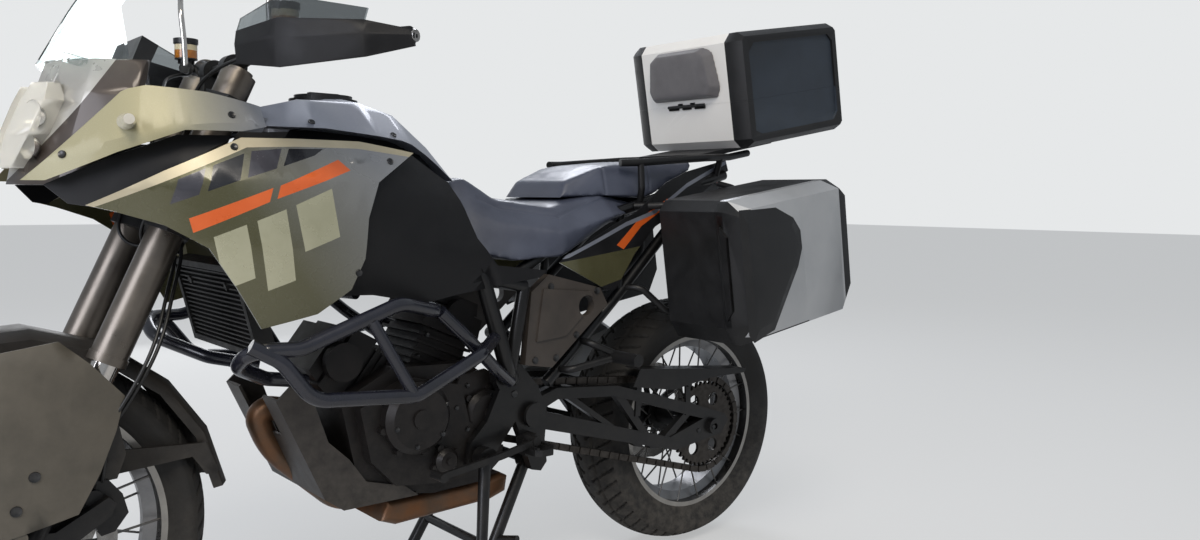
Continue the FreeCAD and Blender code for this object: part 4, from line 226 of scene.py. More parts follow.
# Each finish by its material and how its surface was made, with what that gives the eye. Sizes are in
# millimetres. The finest real grain is a few tenths across, and is drawn 0.7 to 1.6 mm, so that it shows.
FINISHES = {
    # Moulded tyre rubber: dull and dark, greyed by dust near the road.
    "tyre_rubber": dict(
        colour="#181716", second="#211f1d", patch=50, rough=0.78, grain=1.6, relief=0.25, dust=0.3,
        dust_top=420),
    # Black anodised rim: an even half gloss.
    "anodised_black_alloy": dict(
        colour="#19191a", second="#222223", patch=40, rough=0.32, coat=0.2, dust=0.15, dust_top=500),
    # Pale metal of the rim well: a painted reflection of the sky, a bright band behind the spokes.
    "rim_well_painted_sky_reflection": dict(
        colour="#77787a", second="#8b8b8c", patch=40, metallic=0.85, rough=0.34, dust=0.25, dust_top=500),
    # Pale metal at the edge of the rim: a thin pale ring that is a painted highlight.
    "rim_edge_painted_highlight": dict(
        colour="#8f8c88", second="#a5a29c", patch=40, metallic=0.8, rough=0.36, brush=(0.2, 1, 0.2)),
    # Zinc plated spokes: soft grey glints, dusty low down.
    "plated_spoke_steel": dict(
        colour="#5e5d5b", second="#7b7977", patch=30, metallic=0.9, rough=0.34, dust=0.2, dust_top=500),
    # Ground brake disc: bright, with fine marks in one direction.
    "ground_disc_steel": dict(
        colour="#8f8e8b", second="#7c7a77", patch=18, metallic=1.0, rough=0.3, grain=0.9, relief=0.2,
        brush=(1, 0.1, 1)),
    # Hard anodised fork tube: warm grey with long soft highlights.
    "hard_anodised_fork": dict(
        colour="#67615a", second="#777068", metallic=0.85, rough=0.34, brush=(1, 1, 0.1), grain=0.8,
        relief=0.05),
    # Chromed steel: one sharp bright streak along the tube.
    "chromed_steel": dict(
        colour="#c4bfba", second="#d4d0ca", patch=30, metallic=1.0, rough=0.14, swing=0.03, relief=0.01),
    # Painted castings: near black with a faint cast grain.
    "painted_cast_alloy": dict(
        colour="#0d0d0e", second="#151516", patch=50, rough=0.44, grain=1.4, relief=0.14, dust=0.06,
        gleam=0.35),
    # Powder coated tubes: deep black under a thin gloss.
    "powder_coated_steel": dict(
        colour="#0a0a0b", second="#101011", patch=70, rough=0.34, grain=1.6, coat=0.1, dust=0.06,
        gleam=0.35),
    # Enamelled guard tubes: blue black, with clear highlights at each bend.
    "enamelled_guard_steel": dict(
        colour="#11131b", second="#181924", rough=0.26, coat=0.45, relief=0.05, dust=0.08),
    # Painted engine block: brown black and dusty, so that it stays behind its covers.
    "painted_engine_casting": dict(
        colour="#161414", second="#221f1e", patch=35, metallic=0.3, rough=0.46, grain=1.5, relief=0.22,
        dust=0.12, dust_top=620, gleam=0.4),
    # Painted engine covers: smoother than the block, so that their rims catch the light.
    "painted_cover_casting": dict(
        colour="#191717", second="#242120", patch=30, metallic=0.35, rough=0.38, grain=1.3, relief=0.12,
        dust=0.1, dust_top=600, gleam=0.4),
    # Stainless header pipes stained by heat: straw to brown in broad patches.
    "heat_stained_steel": dict(
        colour="#5a4a3c", second="#7b5233", patch=70, metallic=0.6, rough=0.38, relief=0.12, dust=0.1,
        dust_top=500),
    # Brushed silencer shell: long highlights across fine lines.
    "brushed_silencer_steel": dict(
        colour="#8e8f92", second="#9c9b98", patch=70, metallic=0.9, rough=0.34, brush=(0.1, 1, 1)),
    # Pressed skid plate: grey and matt with road dust.
    "pressed_skid_alloy": dict(
        colour="#2f2c2a", second="#45413d", patch=55, metallic=0.45, rough=0.46, grain=1.6, relief=0.16,
        dust=0.3, dust_top=620),
    # Metallic olive under clear coat: fine flakes and crisp reflections.
    "metallic_olive_paint": dict(
        colour="#504e33", second="#5b593c", patch=90, metallic=0.4, rough=0.24, swing=0.03, grain=0.7,
        relief=0.01, coat=0.8, fleck=0.1),
    # The pale olive of the upper edge: the same flakes under a softer gloss.
    "metallic_pale_olive_paint": dict(
        colour="#b3a98f", second="#bbb197", patch=90, metallic=0.4, rough=0.4, swing=0.04, grain=0.7,
        relief=0.02, coat=0.4, fleck=0.1),
    # Metallic silver: cool and bright, with soft reflections.
    "metallic_silver_paint": dict(
        colour="#767a87", second="#81858f", patch=90, metallic=0.4, rough=0.48, swing=0.04, grain=0.7,
        relief=0.01, coat=0.25, fleck=0.12),
    # Smoke grey film: flat colour under gloss.
    "smoke_vinyl_film": dict(
        colour="#3a3a40", second="#47464d", metallic=0.3, rough=0.26, coat=0.7, relief=0.01),
    # Dark film: the deepest tone of the pattern.
    "dark_vinyl_film": dict(
        colour="#17181c", second="#202126", metallic=0.2, rough=0.24, coat=0.7, relief=0.01),
    # Orange film: the one strong colour on the machine.
    "orange_vinyl_film": dict(colour="#c2541c", second="#cb5c22", rough=0.32, coat=0.6, relief=0.01),
    # Pale film: the light blocks on the olive.
    "pale_vinyl_film": dict(
        colour="#a3a186", second="#acaa90", metallic=0.4, rough=0.28, coat=0.7, relief=0.01),
    # Metallic grey of the nose: pale and smooth.
    "metallic_grey_paint": dict(
        colour="#9d9b95", second="#a7a59f", patch=80, metallic=0.35, rough=0.32, grain=0.7, relief=0.02,
        coat=0.4, fleck=0.08),
    # Metallic bronze of the nose: dark and warm beside the grey.
    "metallic_bronze_paint": dict(
        colour="#3a332e", second="#453c36", patch=70, metallic=0.35, rough=0.36, grain=0.8, relief=0.04,
        coat=0.3),
    # Moulded ABS: deep black with a fine pressed grain.
    "moulded_black_abs": dict(
        colour="#0f0f11", second="#151517", patch=50, grain=0.9, relief=0.25, gleam=0.3),
    # Moulded nylon: black with a satin face.
    "satin_black_nylon": dict(
        colour="#111112", second="#19191b", patch=50, rough=0.36, grain=0.9, relief=0.08),
    # Moulded polypropylene of the fork guards: warm grey, dusty low down.
    "moulded_grey_polypropylene": dict(
        colour="#4c4840", second="#575249", rough=0.48, grain=1.0, relief=0.2, dust=0.16, dust_top=800,
        gleam=0.4),
    # Moulded nylon of the side covers: dark bronze with some dust.
    "moulded_bronze_nylon": dict(
        colour="#322d29", second="#3d3732", patch=50, rough=0.46, grain=1.0, relief=0.14, dust=0.12),
    # Grained vinyl: blue grey, lightened and blued to paint in the sky's reflection on the seats, with
    # leather grain drawn coarse enough to show.
    "seat_vinyl_with_painted_sky_sheen": dict(
        colour="#3c404e", second="#474c5b", patch=70, rough=0.38, grain=1.1, relief=0.3, coat=0.15),
    # Moulded rubber grips: matt and grainy.
    "moulded_grip_rubber": dict(
        colour="#151515", second="#1c1c1c", patch=20, rough=0.8, grain=1.5, relief=0.4),
    # Anodised alloy of the side cases: pale metal with fine rolled lines.
    "anodised_case_alloy": dict(
        colour="#b2b4b6", second="#bcbdbe", patch=120, metallic=0.6, rough=0.36, swing=0.05, grain=1.4,
        relief=0.05, brush=(0.06, 1, 1)),
    # Painted alloy round the top case: warm white, just short of gloss.
    "painted_case_alloy": dict(
        colour="#e6e3de", second="#eae8e3", patch=120, metallic=0.15, rough=0.4, relief=0.03),
    # Moulded nylon ends and lids: black with a coarse grain.
    "moulded_case_nylon": dict(
        colour="#131314", second="#1b1b1c", rough=0.44, grain=1.0, relief=0.28, gleam=0.4),
    # Textured panel in the side of the top case: matt slate blue.
    "textured_case_panel": dict(colour="#232a33", second="#2a323c", grain=0.8, relief=0.28),
    # Skinned foam of the backrest: soft matt grey.
    "skinned_foam": dict(
        colour="#555355", second="#605e60", patch=40, rough=0.7, grain=1.3, relief=0.5, sheen=0.25),
    # Coated sheet of the licence plate: plain white.
    "plate_sheet": dict(colour="#d2d0c9", second="#dad8d2", rough=0.35, relief=0.01),
    # Clear polycarbonate: seen by its edges and a faint tint.
    "clear_polycarbonate": dict(
        colour="#e4eaea", rough=0.04, swing=0.02, relief=0.0, clear=1.0, ior=1.06, coat=0.14),
    # Smoked polycarbonate: a grey tint over what is behind it.
    "smoked_polycarbonate": dict(
        colour="#63686a", rough=0.08, swing=0.03, relief=0.0, clear=0.85, ior=1.06, coat=0.6),
    # Lamp lens: white and only half clear, a colour that paints in the lens's bright highlights, with the
    # bowls dim behind it.
    "lamp_lens_with_painted_highlight": dict(
        colour="#e9e7df", rough=0.12, swing=0.03, relief=0.0, clear=0.55, ior=1.06, coat=0.8),
    # Milky polyethylene of an empty reservoir: cream and a little clear.
    "milky_polyethylene": dict(
        colour="#cfc3a0", second="#d6cbab", patch=14, rough=0.3, clear=0.15, coat=0.4, relief=0.0),
    # Moulded polypropylene of the mudguard: brown black, dusty low down.
    "moulded_dark_polypropylene": dict(
        colour="#242220", second="#2e2b28", rough=0.46, grain=1.0, relief=0.2, dust=0.18, gleam=0.35),
    # Reflector coating: bright bowls that pick up the lamps.
    "reflector_coating": dict(
        colour="#d8d8d6", second="#e6e6e4", patch=12, metallic=0.9, rough=0.16, relief=0.01),
    # Red acrylic: dark red with a wet shine.
    "red_acrylic": dict(colour="#7d1113", second="#8e1616", patch=20, rough=0.14, relief=0.01, coat=0.5),
    # Frosted acrylic: pale and soft under a clear face.
    "frosted_acrylic": dict(
        colour="#b9b4a8", second="#c6c2b6", patch=12, rough=0.14, coat=0.6, relief=0.02),
    # Brake fluid behind its wall: clear amber.
    "amber_fluid": dict(
        colour="#a8661c", second="#b8741f", patch=14, rough=0.12, clear=0.3, coat=0.5, relief=0.0),
    # Silvered glass: a sharp mirror.
    "silvered_glass": dict(colour="#c8cdd2", metallic=1.0, rough=0.03, swing=0.01, relief=0.0),
    # Dash glass: black and smooth.
    "dark_dash_glass": dict(colour="#101316", rough=0.08, coat=0.8, relief=0.0),
    # Oiled chain steel: dark metal with worn glints and dust.
    "oiled_chain_steel": dict(
        colour="#2e2b28", second="#474340", patch=14, metallic=0.85, rough=0.36, relief=0.1, dust=0.15,
        dust_top=600),
    # Blackened screws: small dark glints.
    "blackened_steel": dict(colour="#3c3c3d", second="#4d4d4d", patch=10, metallic=0.85, rough=0.35),
    # Plated bolts: small bright glints.
    "plated_bolt_steel": dict(colour="#8f8e8b", second="#a5a3a0", patch=10, metallic=0.9, rough=0.3),
    # Painted radiator fins: matt black that keeps dust.
    "painted_fins": dict(
        colour="#101010", second="#181716", patch=20, metallic=0.3, rough=0.55, dust=0.2, dust_top=900),
    # Extruded hose rubber: black with a soft shine.
    "extruded_hose_rubber": dict(
        colour="#121212", second="#1a1a1a", patch=20, rough=0.45, grain=0.9, relief=0.1),
    # Metallic paint of the wings, sprayed from pale olive at the nose into silver at the tank: a soft gloss.
    "wing_fade": dict(
        colour="#8f8a6c", second="#85888f", fade=(-600, -450, 0), patch=90, blur=0.5, metallic=0.25,
        swing=0.04, grain=1 / 1.4, relief=0.02, coat=0.15, fleck=0.1),
    # Metallic paint of the fairings, from olive low in front into silver at the upper rear: a hard gloss.
    "fairing_fade": dict(
        colour="#504e33", second="#8f9092", fade=(130, 430, 0.7), patch=90, blur=0.5, metallic=0.4,
        rough=0.28, swing=0.04, grain=1 / 1.4, relief=0.02, coat=0.7, fleck=0.1),
}
MATERIALS = {name: finish(name, **values) for name, values in FINISHES.items()}

FLOOR_HALF = 30


def studio_floor():
    """A floor that is half lit and half shining to the camera, so that it stays pale under soft shadows."""
    mesh = bpy.data.meshes.new("floor")
    bm = bmesh.new()
    bmesh.ops.create_grid(bm, x_segments=1, y_segments=1, size=FLOOR_HALF)
    bm.to_mesh(mesh)
    bm.free()
    floor = bpy.data.objects.new("floor", mesh)
    scene.collection.objects.link(floor)
    material, tree = new_tree("pale_floor")
    lit = add(tree, "ShaderNodeBsdfPrincipled", {"Base Color": srgb("#c9cacb"), "Roughness": 0.9})
    white = add(tree, "ShaderNodeEmission", {"Color": srgb("#eceded"), "Strength": 1.0})
    seen = add(tree, "ShaderNodeMixShader", {0: 0.5, 1: lit.outputs[0], 2: white.outputs[0]})
    view = white_to_camera(tree, seen, lit)
    add(tree, "ShaderNodeOutputMaterial", {"Surface": view.outputs[0]})
    mesh.materials.append(material)


studio_floor()


# Mesh helpers.
def paint(node, *finishes, choose=None):
    """Gives a CAD node its finishes; choose picks one for a face from its middle and its normal."""
    mesh = cad[node].data
    mesh.materials.clear()
    for key in finishes:
        mesh.materials.append(MATERIALS[key])
    for face in mesh.polygons:
        c = face.center * 1000
        face.material_index = choose(Vector((c.x - SHIFT, c.y, c.z)), face.normal) if choose else 0


def made(name, bm, body, *finishes, soft=32, slot=None):
    """An object from a bmesh, with smooth faces except over edges sharper than so many degrees."""
    mesh = bpy.data.meshes.new(name)
    bm.to_mesh(mesh)
    bm.free()
    for key in finishes:
        mesh.materials.append(MATERIALS[key])
    mesh.shade_smooth()
    mesh.set_sharp_from_angle(angle=math.radians(soft))
    obj = bpy.data.objects.new(name, mesh)
    scene.collection.objects.link(obj)
    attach(obj, body)
    return obj


MERGE = 0.00002
FLAT_DEGREES = 0.6
CUT = 0.00001


def cad_copy(node, flat=True):
    """A merged copy of a CAD node's mesh, with the triangles of each flat face joined."""
    bm = bmesh.new()
    bm.from_mesh(cad[node].data)
    bmesh.ops.remove_doubles(bm, verts=bm.verts, dist=MERGE)
    if flat:
        bmesh.ops.dissolve_limit(bm, angle_limit=math.radians(FLAT_DEGREES), verts=bm.verts, edges=bm.edges)
    bmesh.ops.recalc_face_normals(bm, faces=bm.faces)
    return bm


def inside(x, z, outline):
    """Whether a point lies in a closed outline of (x, z) places."""
    hit = False
    for (x1, z1), (x2, z2) in zip(outline, outline[1:] + outline[:1]):
        if (z1 > z) != (z2 > z) and x < (x2 - x1) * (z - z1) / (z2 - z1) + x1:
            hit = not hit
    return hit


CUT_REACH = 0.02


def striped(name, node, body, base, bands, slot):
    """A copy of a panel, cut along the edges of each band and coloured inside it. Bands are side outlines."""
    bm = cad_copy(node)
    for outline, _ in bands:
        for (x1, z1), (x2, z2) in zip(outline, outline[1:] + outline[:1]):
            a, b = at(x1, 0, z1), at(x2, 0, z2)
            across = Vector((b.z - a.z, 0, a.x - b.x)).normalized()
            length = (b - a).length
            way = (b - a).normalized()
            beside = [f for f in bm.faces if any(
                -CUT_REACH < (v.co - a).dot(way) < length + CUT_REACH for v in f.verts)]
            geometry = set(beside)
            for f in beside:
                geometry.update(f.edges)
                geometry.update(f.verts)
            bmesh.ops.bisect_plane(bm, geom=list(geometry), plane_co=a, plane_no=across, dist=CUT)
    for face in bm.faces:
        c = face.calc_center_median() * 1000
        for k, (outline, _) in enumerate(bands):
            if inside(c.x - SHIFT, c.z, outline):
                face.material_index = k + 1
    obj = made(name, bm, body, base, *[key for _, key in bands], slot=slot)
    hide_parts(node)


def dressed(name, node, body, base, planes, choose, slot):
    """A copy of a CAD node cut by planes, with a finish chosen for each face by its place in the layout."""
    keys = [base]
    bm = cad_copy(node)
    for place, way in planes:
        bmesh.ops.bisect_plane(bm, geom=bm.verts[:] + bm.edges[:] + bm.faces[:], plane_co=place,
                               plane_no=way, dist=CUT)
    bm.normal_update()
    for face in bm.faces:
        c = face.calc_center_median() * 1000
        key = choose(Vector((c.x - SHIFT, c.y, c.z)), face.normal) or base
        if key not in keys:
            keys.append(key)
        face.material_index = keys.index(key)
    obj = made(name, bm, body, *keys, slot=slot)
    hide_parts(node)


# Brake hoses, by the points of their routes: two down to the left caliper and one from each hand pump.
HOSE_WIDTH = 6.4
CALIPER_HOSE = 483
PUMP_HOSE = 540
PUMP_ROUTE = [
    (-422.5, -234.9, 1149.5), (-467.6, -210.6, 1141.5), (-510.0, -96.0, 1102.0), (-518.7, -84.0, 1033.5),
    (-592.9, -84.0, 874.4), (-603.4, -66.0, 832.9), (-575.8, -52.0, 806.8), (-541.2, -30.0, 814.9)]
HOSES = {
    "caliper_hose_front": (CALIPER_HOSE, [
        (-536.7, -38.0, 815.1), (-540.8, -66.0, 801.5), (-565.8, -88.0, 733.7), (-593.4, -126.0, 665.0),
        (-626.6, -140.0, 603.2), (-673.7, -132.0, 525.9), (-686.0, -124.0, 525.0), (-690.0, -124.0, 449.0),
        (-692.0, -96.0, 411.0)]),
    "caliper_hose_rear": (CALIPER_HOSE, [
        (-524.7, -34.0, 819.1), (-528.8, -62.0, 805.5), (-553.8, -84.0, 737.7), (-581.4, -122.0, 669.0),
        (-614.6, -136.0, 607.2), (-661.7, -128.0, 529.9), (-674.0, -120.0, 529.0), (-678.0, -120.0, 453.0),
        (-680.0, -92.0, 415.0)]),
    "pump_hose_left": (PUMP_HOSE, PUMP_ROUTE),
    "pump_hose_right": (PUMP_HOSE, mirrored(PUMP_ROUTE)),
}


def hose(name, route):
    """A smooth line through the room between its ends, along the points of its route."""
    curve = bpy.data.curves.new(name, "CURVE")
    curve.dimensions = "3D"
    curve.bevel_depth = HOSE_WIDTH / 2000
    curve.bevel_resolution = 4
    curve.resolution_u = 10
    curve.use_fill_caps = True
    line = curve.splines.new("NURBS")
    line.points.add(len(route) - 1)
    for point, place in zip(line.points, route):
        point.co = (*at(*place), 1)
    line.order_u = 3
    line.use_endpoint_u = True
    curve.materials.append(MATERIALS["extruded_hose_rubber"])
    obj = bpy.data.objects.new(name, curve)
    scene.collection.objects.link(obj)
    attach(obj, "steering")
    return obj


for name, (length, route) in HOSES.items():
    piece = hose(name, route)
    tuple(at(*route[0]))
    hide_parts("brake_hoses")


# Wheels in millimetres: the tread's blocks, where the discs lie across, and the discs' inner radius.
WHEELS = {
    "front": dict(axle=FRONT_AXLE, radius=325, width=120, bead=251, rim_width=86, blocks=58,
                  discs=(-70, 70), disc_inner=124),
    "rear": dict(axle=REAR_AXLE, radius=318, width=170, bead=226, rim_width=140, blocks=52,
                 discs=(92,), disc_inner=97),
}
SHOULDER_DROP = 26
SHOULDER_REACH = 0.94
CROWN_POWER = 2.1
CROWN_STEPS = 22
STEPS_A_BLOCK = 12
SPIN_MERGE = 0.00001
TREAD_DROP = 30
TREAD_REACH = 0.95
BLOCK_SLANT = 1.4
CROSS_GROOVE = 6.5
CROSS_SHARE = 0.17
RING_GROOVE = 5.5
RING_PLACE = 0.36
RING_HALF = 0.028


def tyre_section(radius, half, bead, rim_half):
    """The closed outline of a tyre as (radius, across): bead, side wall and crown, then the inner face."""
    middle = (bead + radius) / 2
    wall = [(bead - 6, rim_half - 6), (bead + 2, rim_half + 1.5), (bead + 8, rim_half + 3),
            (bead + 12, rim_half + 4.5), (middle - 8, half * 0.985), (middle, half),
            (radius - 34, half * 0.985), (radius - SHOULDER_DROP, half * SHOULDER_REACH)]
    shares = [1 - k / CROWN_STEPS for k in range(1, CROWN_STEPS + 1)]
    crown = [(radius - SHOULDER_DROP * s ** CROWN_POWER, half * SHOULDER_REACH * s) for s in shares]
    inner = [(radius - 15, 0), (radius - 26, half * 0.6), (middle, half - 9), (bead + 12, half * 0.7),
             (bead - 6, rim_half - 16)]
    side = wall + crown
    outline = side + [(r, -y) for r, y in reversed(side[:-1])]
    return outline + [(r, -y) for r, y in reversed(inner[1:])] + inner


def groove_depth(angle, y, half, blocks):
    """How deep the tread is cut at a place: slanted grooves between blocks, and a ring on each side."""
    share = abs(y / half)
    step = angle * blocks / (2 * math.pi) + share * BLOCK_SLANT + (0.5 if y > 0 else 0)
    if abs(step % 1 - 0.5) * 2 < CROSS_SHARE and 0.1 < share < 0.9:
        return CROSS_GROOVE
    return RING_GROOVE if abs(share - RING_PLACE) < RING_HALF else 0


def tyre(name, node, body, wheel):
    """A tyre spun from its section, with the grooves pressed into its crown."""
    radius, half, blocks = wheel["radius"], wheel["width"] / 2, wheel["blocks"]
    bm = bmesh.new()
    outline = tyre_section(radius, half, wheel["bead"], wheel["rim_width"] / 2)
    verts = [bm.verts.new(Vector((0, y, r)) / 1000) for r, y in outline]
    edges = [bm.edges.new(pair) for pair in zip(verts, verts[1:] + verts[:1])]
    bmesh.ops.spin(bm, geom=verts + edges, cent=(0, 0, 0), axis=(0, 1, 0), angle=2 * math.pi,
                   steps=blocks * STEPS_A_BLOCK, use_merge=True)
    bmesh.ops.remove_doubles(bm, verts=bm.verts, dist=SPIN_MERGE)
    for v in bm.verts:
        y = v.co.y * 1000
        if math.hypot(v.co.x, v.co.z) * 1000 < radius - TREAD_DROP or abs(y) > half * TREAD_REACH:
            continue
        depth = groove_depth(math.atan2(v.co.z, v.co.x), y, half, blocks)
        v.co -= Vector((v.co.x, 0, v.co.z)).normalized() * depth / 1000
    bmesh.ops.recalc_face_normals(bm, faces=bm.faces)
    bmesh.ops.translate(bm, verts=bm.verts, vec=at(*wheel["axle"]))
    obj = made(name, bm, body, "tyre_rubber", soft=40, slot="tyre")
    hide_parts(node)


HUB_RADIUS = 50
CARRIER_FROM = 60
DISC_HALF = 3.2


def hub_paint(node, axle, discs, disc_inner):
    """Black hub and disc carriers, plated spokes and ground discs, told apart by where a face lies."""
    def choose(c, normal):
        r = math.hypot(c.x - axle[0], c.z - axle[2])
        if r > CARRIER_FROM and any(abs(c.y - y) < DISC_HALF for y in discs):
            return 2 if r > disc_inner else 0
        return 1 if r > HUB_RADIUS else 0
    paint(node, "painted_cast_alloy", "plated_spoke_steel", "ground_disc_steel", choose=choose)


LIP_DEPTH = 6
LIP_WIDTH = 6.5
WELL_INSET = 20


def rim_paint(node, axle, bead, rim_width):
    """Black lips, a pale ring on the bead edge that is a painted highlight, and a pale well facing the hub
    that is a painted reflection of the sky. A face goes by the middle of its reach in radius and across, so
    that both triangles of a facet agree."""
    paint(node, "anodised_black_alloy", "rim_edge_painted_highlight", "rim_well_painted_sky_reflection")
    mesh = cad[node].data
    for face in mesh.polygons:
        places = [mesh.vertices[k].co * 1000 for k in face.vertices]
        radii = [math.hypot(c.x - SHIFT - axle[0], c.z - axle[2]) for c in places]
        widths = [abs(c.y) for c in places]
        r, y = (min(radii) + max(radii)) / 2, (min(widths) + max(widths)) / 2
        middle = face.center * 1000
        inward = face.normal.x * (axle[0] + SHIFT - middle.x) + face.normal.z * (axle[2] - middle.z)
        # Faces at the bead edge get the pale ring that paints in a highlight.
        if r > bead - LIP_DEPTH and y > rim_width / 2 - LIP_WIDTH:
            face.material_index = 1
        # Faces of the well get the pale metal that paints in the sky's reflection.
        elif inward > 0.3 * r and y < rim_width / 2 - WELL_INSET:
            face.material_index = 2


for end, wheel in WHEELS.items():
    tyre(end + "_tread", end + "_tyre", end + "_wheel", wheel)
    hub_paint(end + "_hub_and_spokes", wheel["axle"], wheel["discs"], wheel["disc_inner"])
    rim_paint(end + "_rim", wheel["axle"], wheel["bead"], wheel["rim_width"])


# Finishes of the CAD nodes that show as they are.
PLAIN = {
    "painted_cast_alloy": ("fork_clamps", "front_calipers", "footrests_and_pedals", "luggage_racks",
                           "handlebar"),
    "powder_coated_steel": ("main_frame", "rear_frame", "swingarm", "centre_stand", "side_stand"),
    "hard_anodised_fork": ("fork_upper_tubes",),
    "oiled_chain_steel": ("rear_sprocket", "drive_chain"),
    "painted_engine_casting": ("engine_block",),
    "painted_cover_casting": ("engine_covers",),
    "heat_stained_steel": ("exhaust_pipes",),
    "brushed_silencer_steel": ("silencer",),
    "painted_fins": ("radiator",),
    "pressed_skid_alloy": ("sump_guard",),
    "enamelled_guard_steel": ("engine_guards",),
    "moulded_bronze_nylon": ("frame_covers",),
    "moulded_black_abs": ("fuel_tank", "rear_mudguard"),
    "satin_black_nylon": ("filler_cap",),
    "moulded_grip_rubber": ("grips",),
    "clear_polycarbonate": ("windscreen",),
    "smoked_polycarbonate": ("hand_guard_screens",),
    "moulded_case_nylon": ("left_pannier", "right_pannier"),
}
for key, nodes in PLAIN.items():
    for node in nodes:
        paint(node, key)

MIRROR_GLASS_FROM = 1335
MIRROR_STEM = (-418, 262)
MIRROR_STEM_TOP = 1340
MIRROR_STEM_REACH = 60
TAIL_LIGHT = (780, 900)
TAIL_LIGHT_HALF = 70
INDICATOR_ARMS_FROM = 960
INDICATOR_ARMS_HALF = 128
DASH_FROM = 1085
PLATE_BACK = 1000


def mirror_part(c, normal):
    """Glass on the rear face, a chromed stem over the bar, and a black housing."""
    if normal.x > 0.9 and c.z > MIRROR_GLASS_FROM:
        return 1
    off = math.hypot(c.x - MIRROR_STEM[0], abs(c.y) - MIRROR_STEM[1])
    return 2 if c.z < MIRROR_STEM_TOP and off < MIRROR_STEM_REACH else 0


def signal_part(c, normal):
    """The red tail light, the black arms of the rear indicators, and pale lenses."""
    if TAIL_LIGHT[0] < c.x < TAIL_LIGHT[1] and abs(c.y) < TAIL_LIGHT_HALF:
        return 1
    return 2 if c.x > INDICATOR_ARMS_FROM and abs(c.y) < INDICATOR_ARMS_HALF else 0


paint("mirrors", "satin_black_nylon", "silvered_glass", "chromed_steel", choose=mirror_part)
paint("signal_lights", "frosted_acrylic", "red_acrylic", "satin_black_nylon", choose=signal_part)
paint("instrument_cluster", "satin_black_nylon", "dark_dash_glass",
      choose=lambda c, normal: int(normal.x > 0.5 and c.z > DASH_FROM))
paint("licence_plate", "plate_sheet", "satin_black_nylon",
      choose=lambda c, normal: int(c.x < PLATE_BACK and normal.x < 0.5))

# Painted panels with their stripes, as side outlines of (x, z).
FAIRING_BANDS = (
    ([(-716, 884), (-604, 944), (-486, 1000), (-397, 1002), (-281, 1002), (-168, 986), (-182, 978),
      (-290, 989), (-400, 988), (-480, 984), (-600, 929), (-700, 884)], "metallic_pale_olive_paint"),
    ([(-588, 930), (-548, 948), (-560, 906), (-600, 890)], "smoke_vinyl_film"),
    ([(-536, 953), (-486, 974), (-500, 930), (-548, 911)], "dark_vinyl_film"),
    ([(-474, 978), (-424, 984), (-440, 950), (-488, 934)], "smoke_vinyl_film"),
    ([(-412, 984), (-352, 986), (-370, 974), (-428, 954)], "dark_vinyl_film"),
    ([(-574, 868), (-450, 918), (-456, 895), (-568, 845)], "orange_vinyl_film"),
    ([(-438, 922), (-330, 968), (-312, 950), (-444, 900)], "orange_vinyl_film"),
    ([(-540, 838), (-492, 858), (-478, 770), (-522, 752)], "pale_vinyl_film"),
    ([(-476, 864), (-430, 883), (-414, 764), (-458, 748)], "pale_vinyl_film"),
    ([(-414, 890), (-352, 918), (-338, 836), (-400, 812)], "pale_vinyl_film"),
)
MASK_BANDS = (
    ([(-790, 918), (-762, 960), (-710, 1030), (-644, 1123), (-630, 1136), (-560, 1150), (-560, 880),
      (-790, 880)], "metallic_bronze_paint"),
)
TAIL_BANDS = (
    ([(380, 800), (452, 858), (560, 906), (566, 892), (462, 842), (402, 790)], "orange_vinyl_film"),
    ([(200, 770), (240, 784), (410, 852), (512, 880), (640, 944), (824, 1010), (824, 1000), (640, 934),
      (512, 870), (410, 842), (240, 776)], "metallic_silver_paint"),
    ([(196, 764), (462, 796), (430, 730), (300, 700)], "metallic_olive_paint"),
)
striped("fairing_paint", "side_fairings", "chassis", "fairing_fade", FAIRING_BANDS, slot="olive")
striped("mask_paint", "headlight_mask", "chassis", "metallic_grey_paint", MASK_BANDS, slot="mask_grey")
striped("tail_paint", "tail_panels", "chassis", "moulded_black_abs", TAIL_BANDS, slot="plastic_black")


# Soft pieces: each swells a little from its solid under air pressure, then gets its seams.
AIR_PRESSURE = 4
AIR_FRAMES = 20
UNDERSIDE = -0.5
SWELL_ROUNDS = 16
SEAM_DEPTH = 2.2
CROSS_SEAM_DEPTH = 2.4
SEAM_WIDTH = 3.2


def bake(obj):
    """Applies an object's modifiers to its mesh."""
    graph = bpy.context.evaluated_depsgraph_get()
    mesh = bpy.data.meshes.new_from_object(obj.evaluated_get(graph))
    obj.modifiers.clear()
    obj.data = mesh


def places_of(mesh, what="co"):
    """The place or the normal of each vertex, as rows of an array."""
    flat = np.zeros(len(mesh.vertices) * 3, np.float32)
    mesh.vertices.foreach_get(what, flat)
    return flat.reshape(-1, 3)


def even_out(mesh, values, times):
    """Averages a value at each vertex with those of its neighbours, so that a swell has no wrinkles."""
    ends = np.zeros(len(mesh.edges) * 2, np.int32)
    mesh.edges.foreach_get("vertices", ends)
    one, other = ends[0::2], ends[1::2]
    count = np.bincount(ends, minlength=len(values))
    for _ in range(times):
        total = np.bincount(one, values[other], len(values)) + np.bincount(other, values[one], len(values))
        values = (values + total / count) / 2
    return values


def inflate(obj):
    """Lets air pressure push a cushion out, held by its underside, for a few frames."""
    held = obj.vertex_groups.new(name="held")
    held.add([v.index for v in obj.data.vertices if v.normal.z < UNDERSIDE], 1.0, "REPLACE")
    cloth = obj.modifiers.new("cloth", "CLOTH")
    cloth.settings.use_pressure = True
    cloth.settings.uniform_pressure_force = AIR_PRESSURE
    cloth.settings.effector_weights.gravity = 0
    cloth.settings.vertex_group_mass = "held"
    cloth.collision_settings.use_collision = False
    for k in range(1, AIR_FRAMES + 1):
        scene.frame_set(k)
    bake(obj)
    scene.frame_set(1)


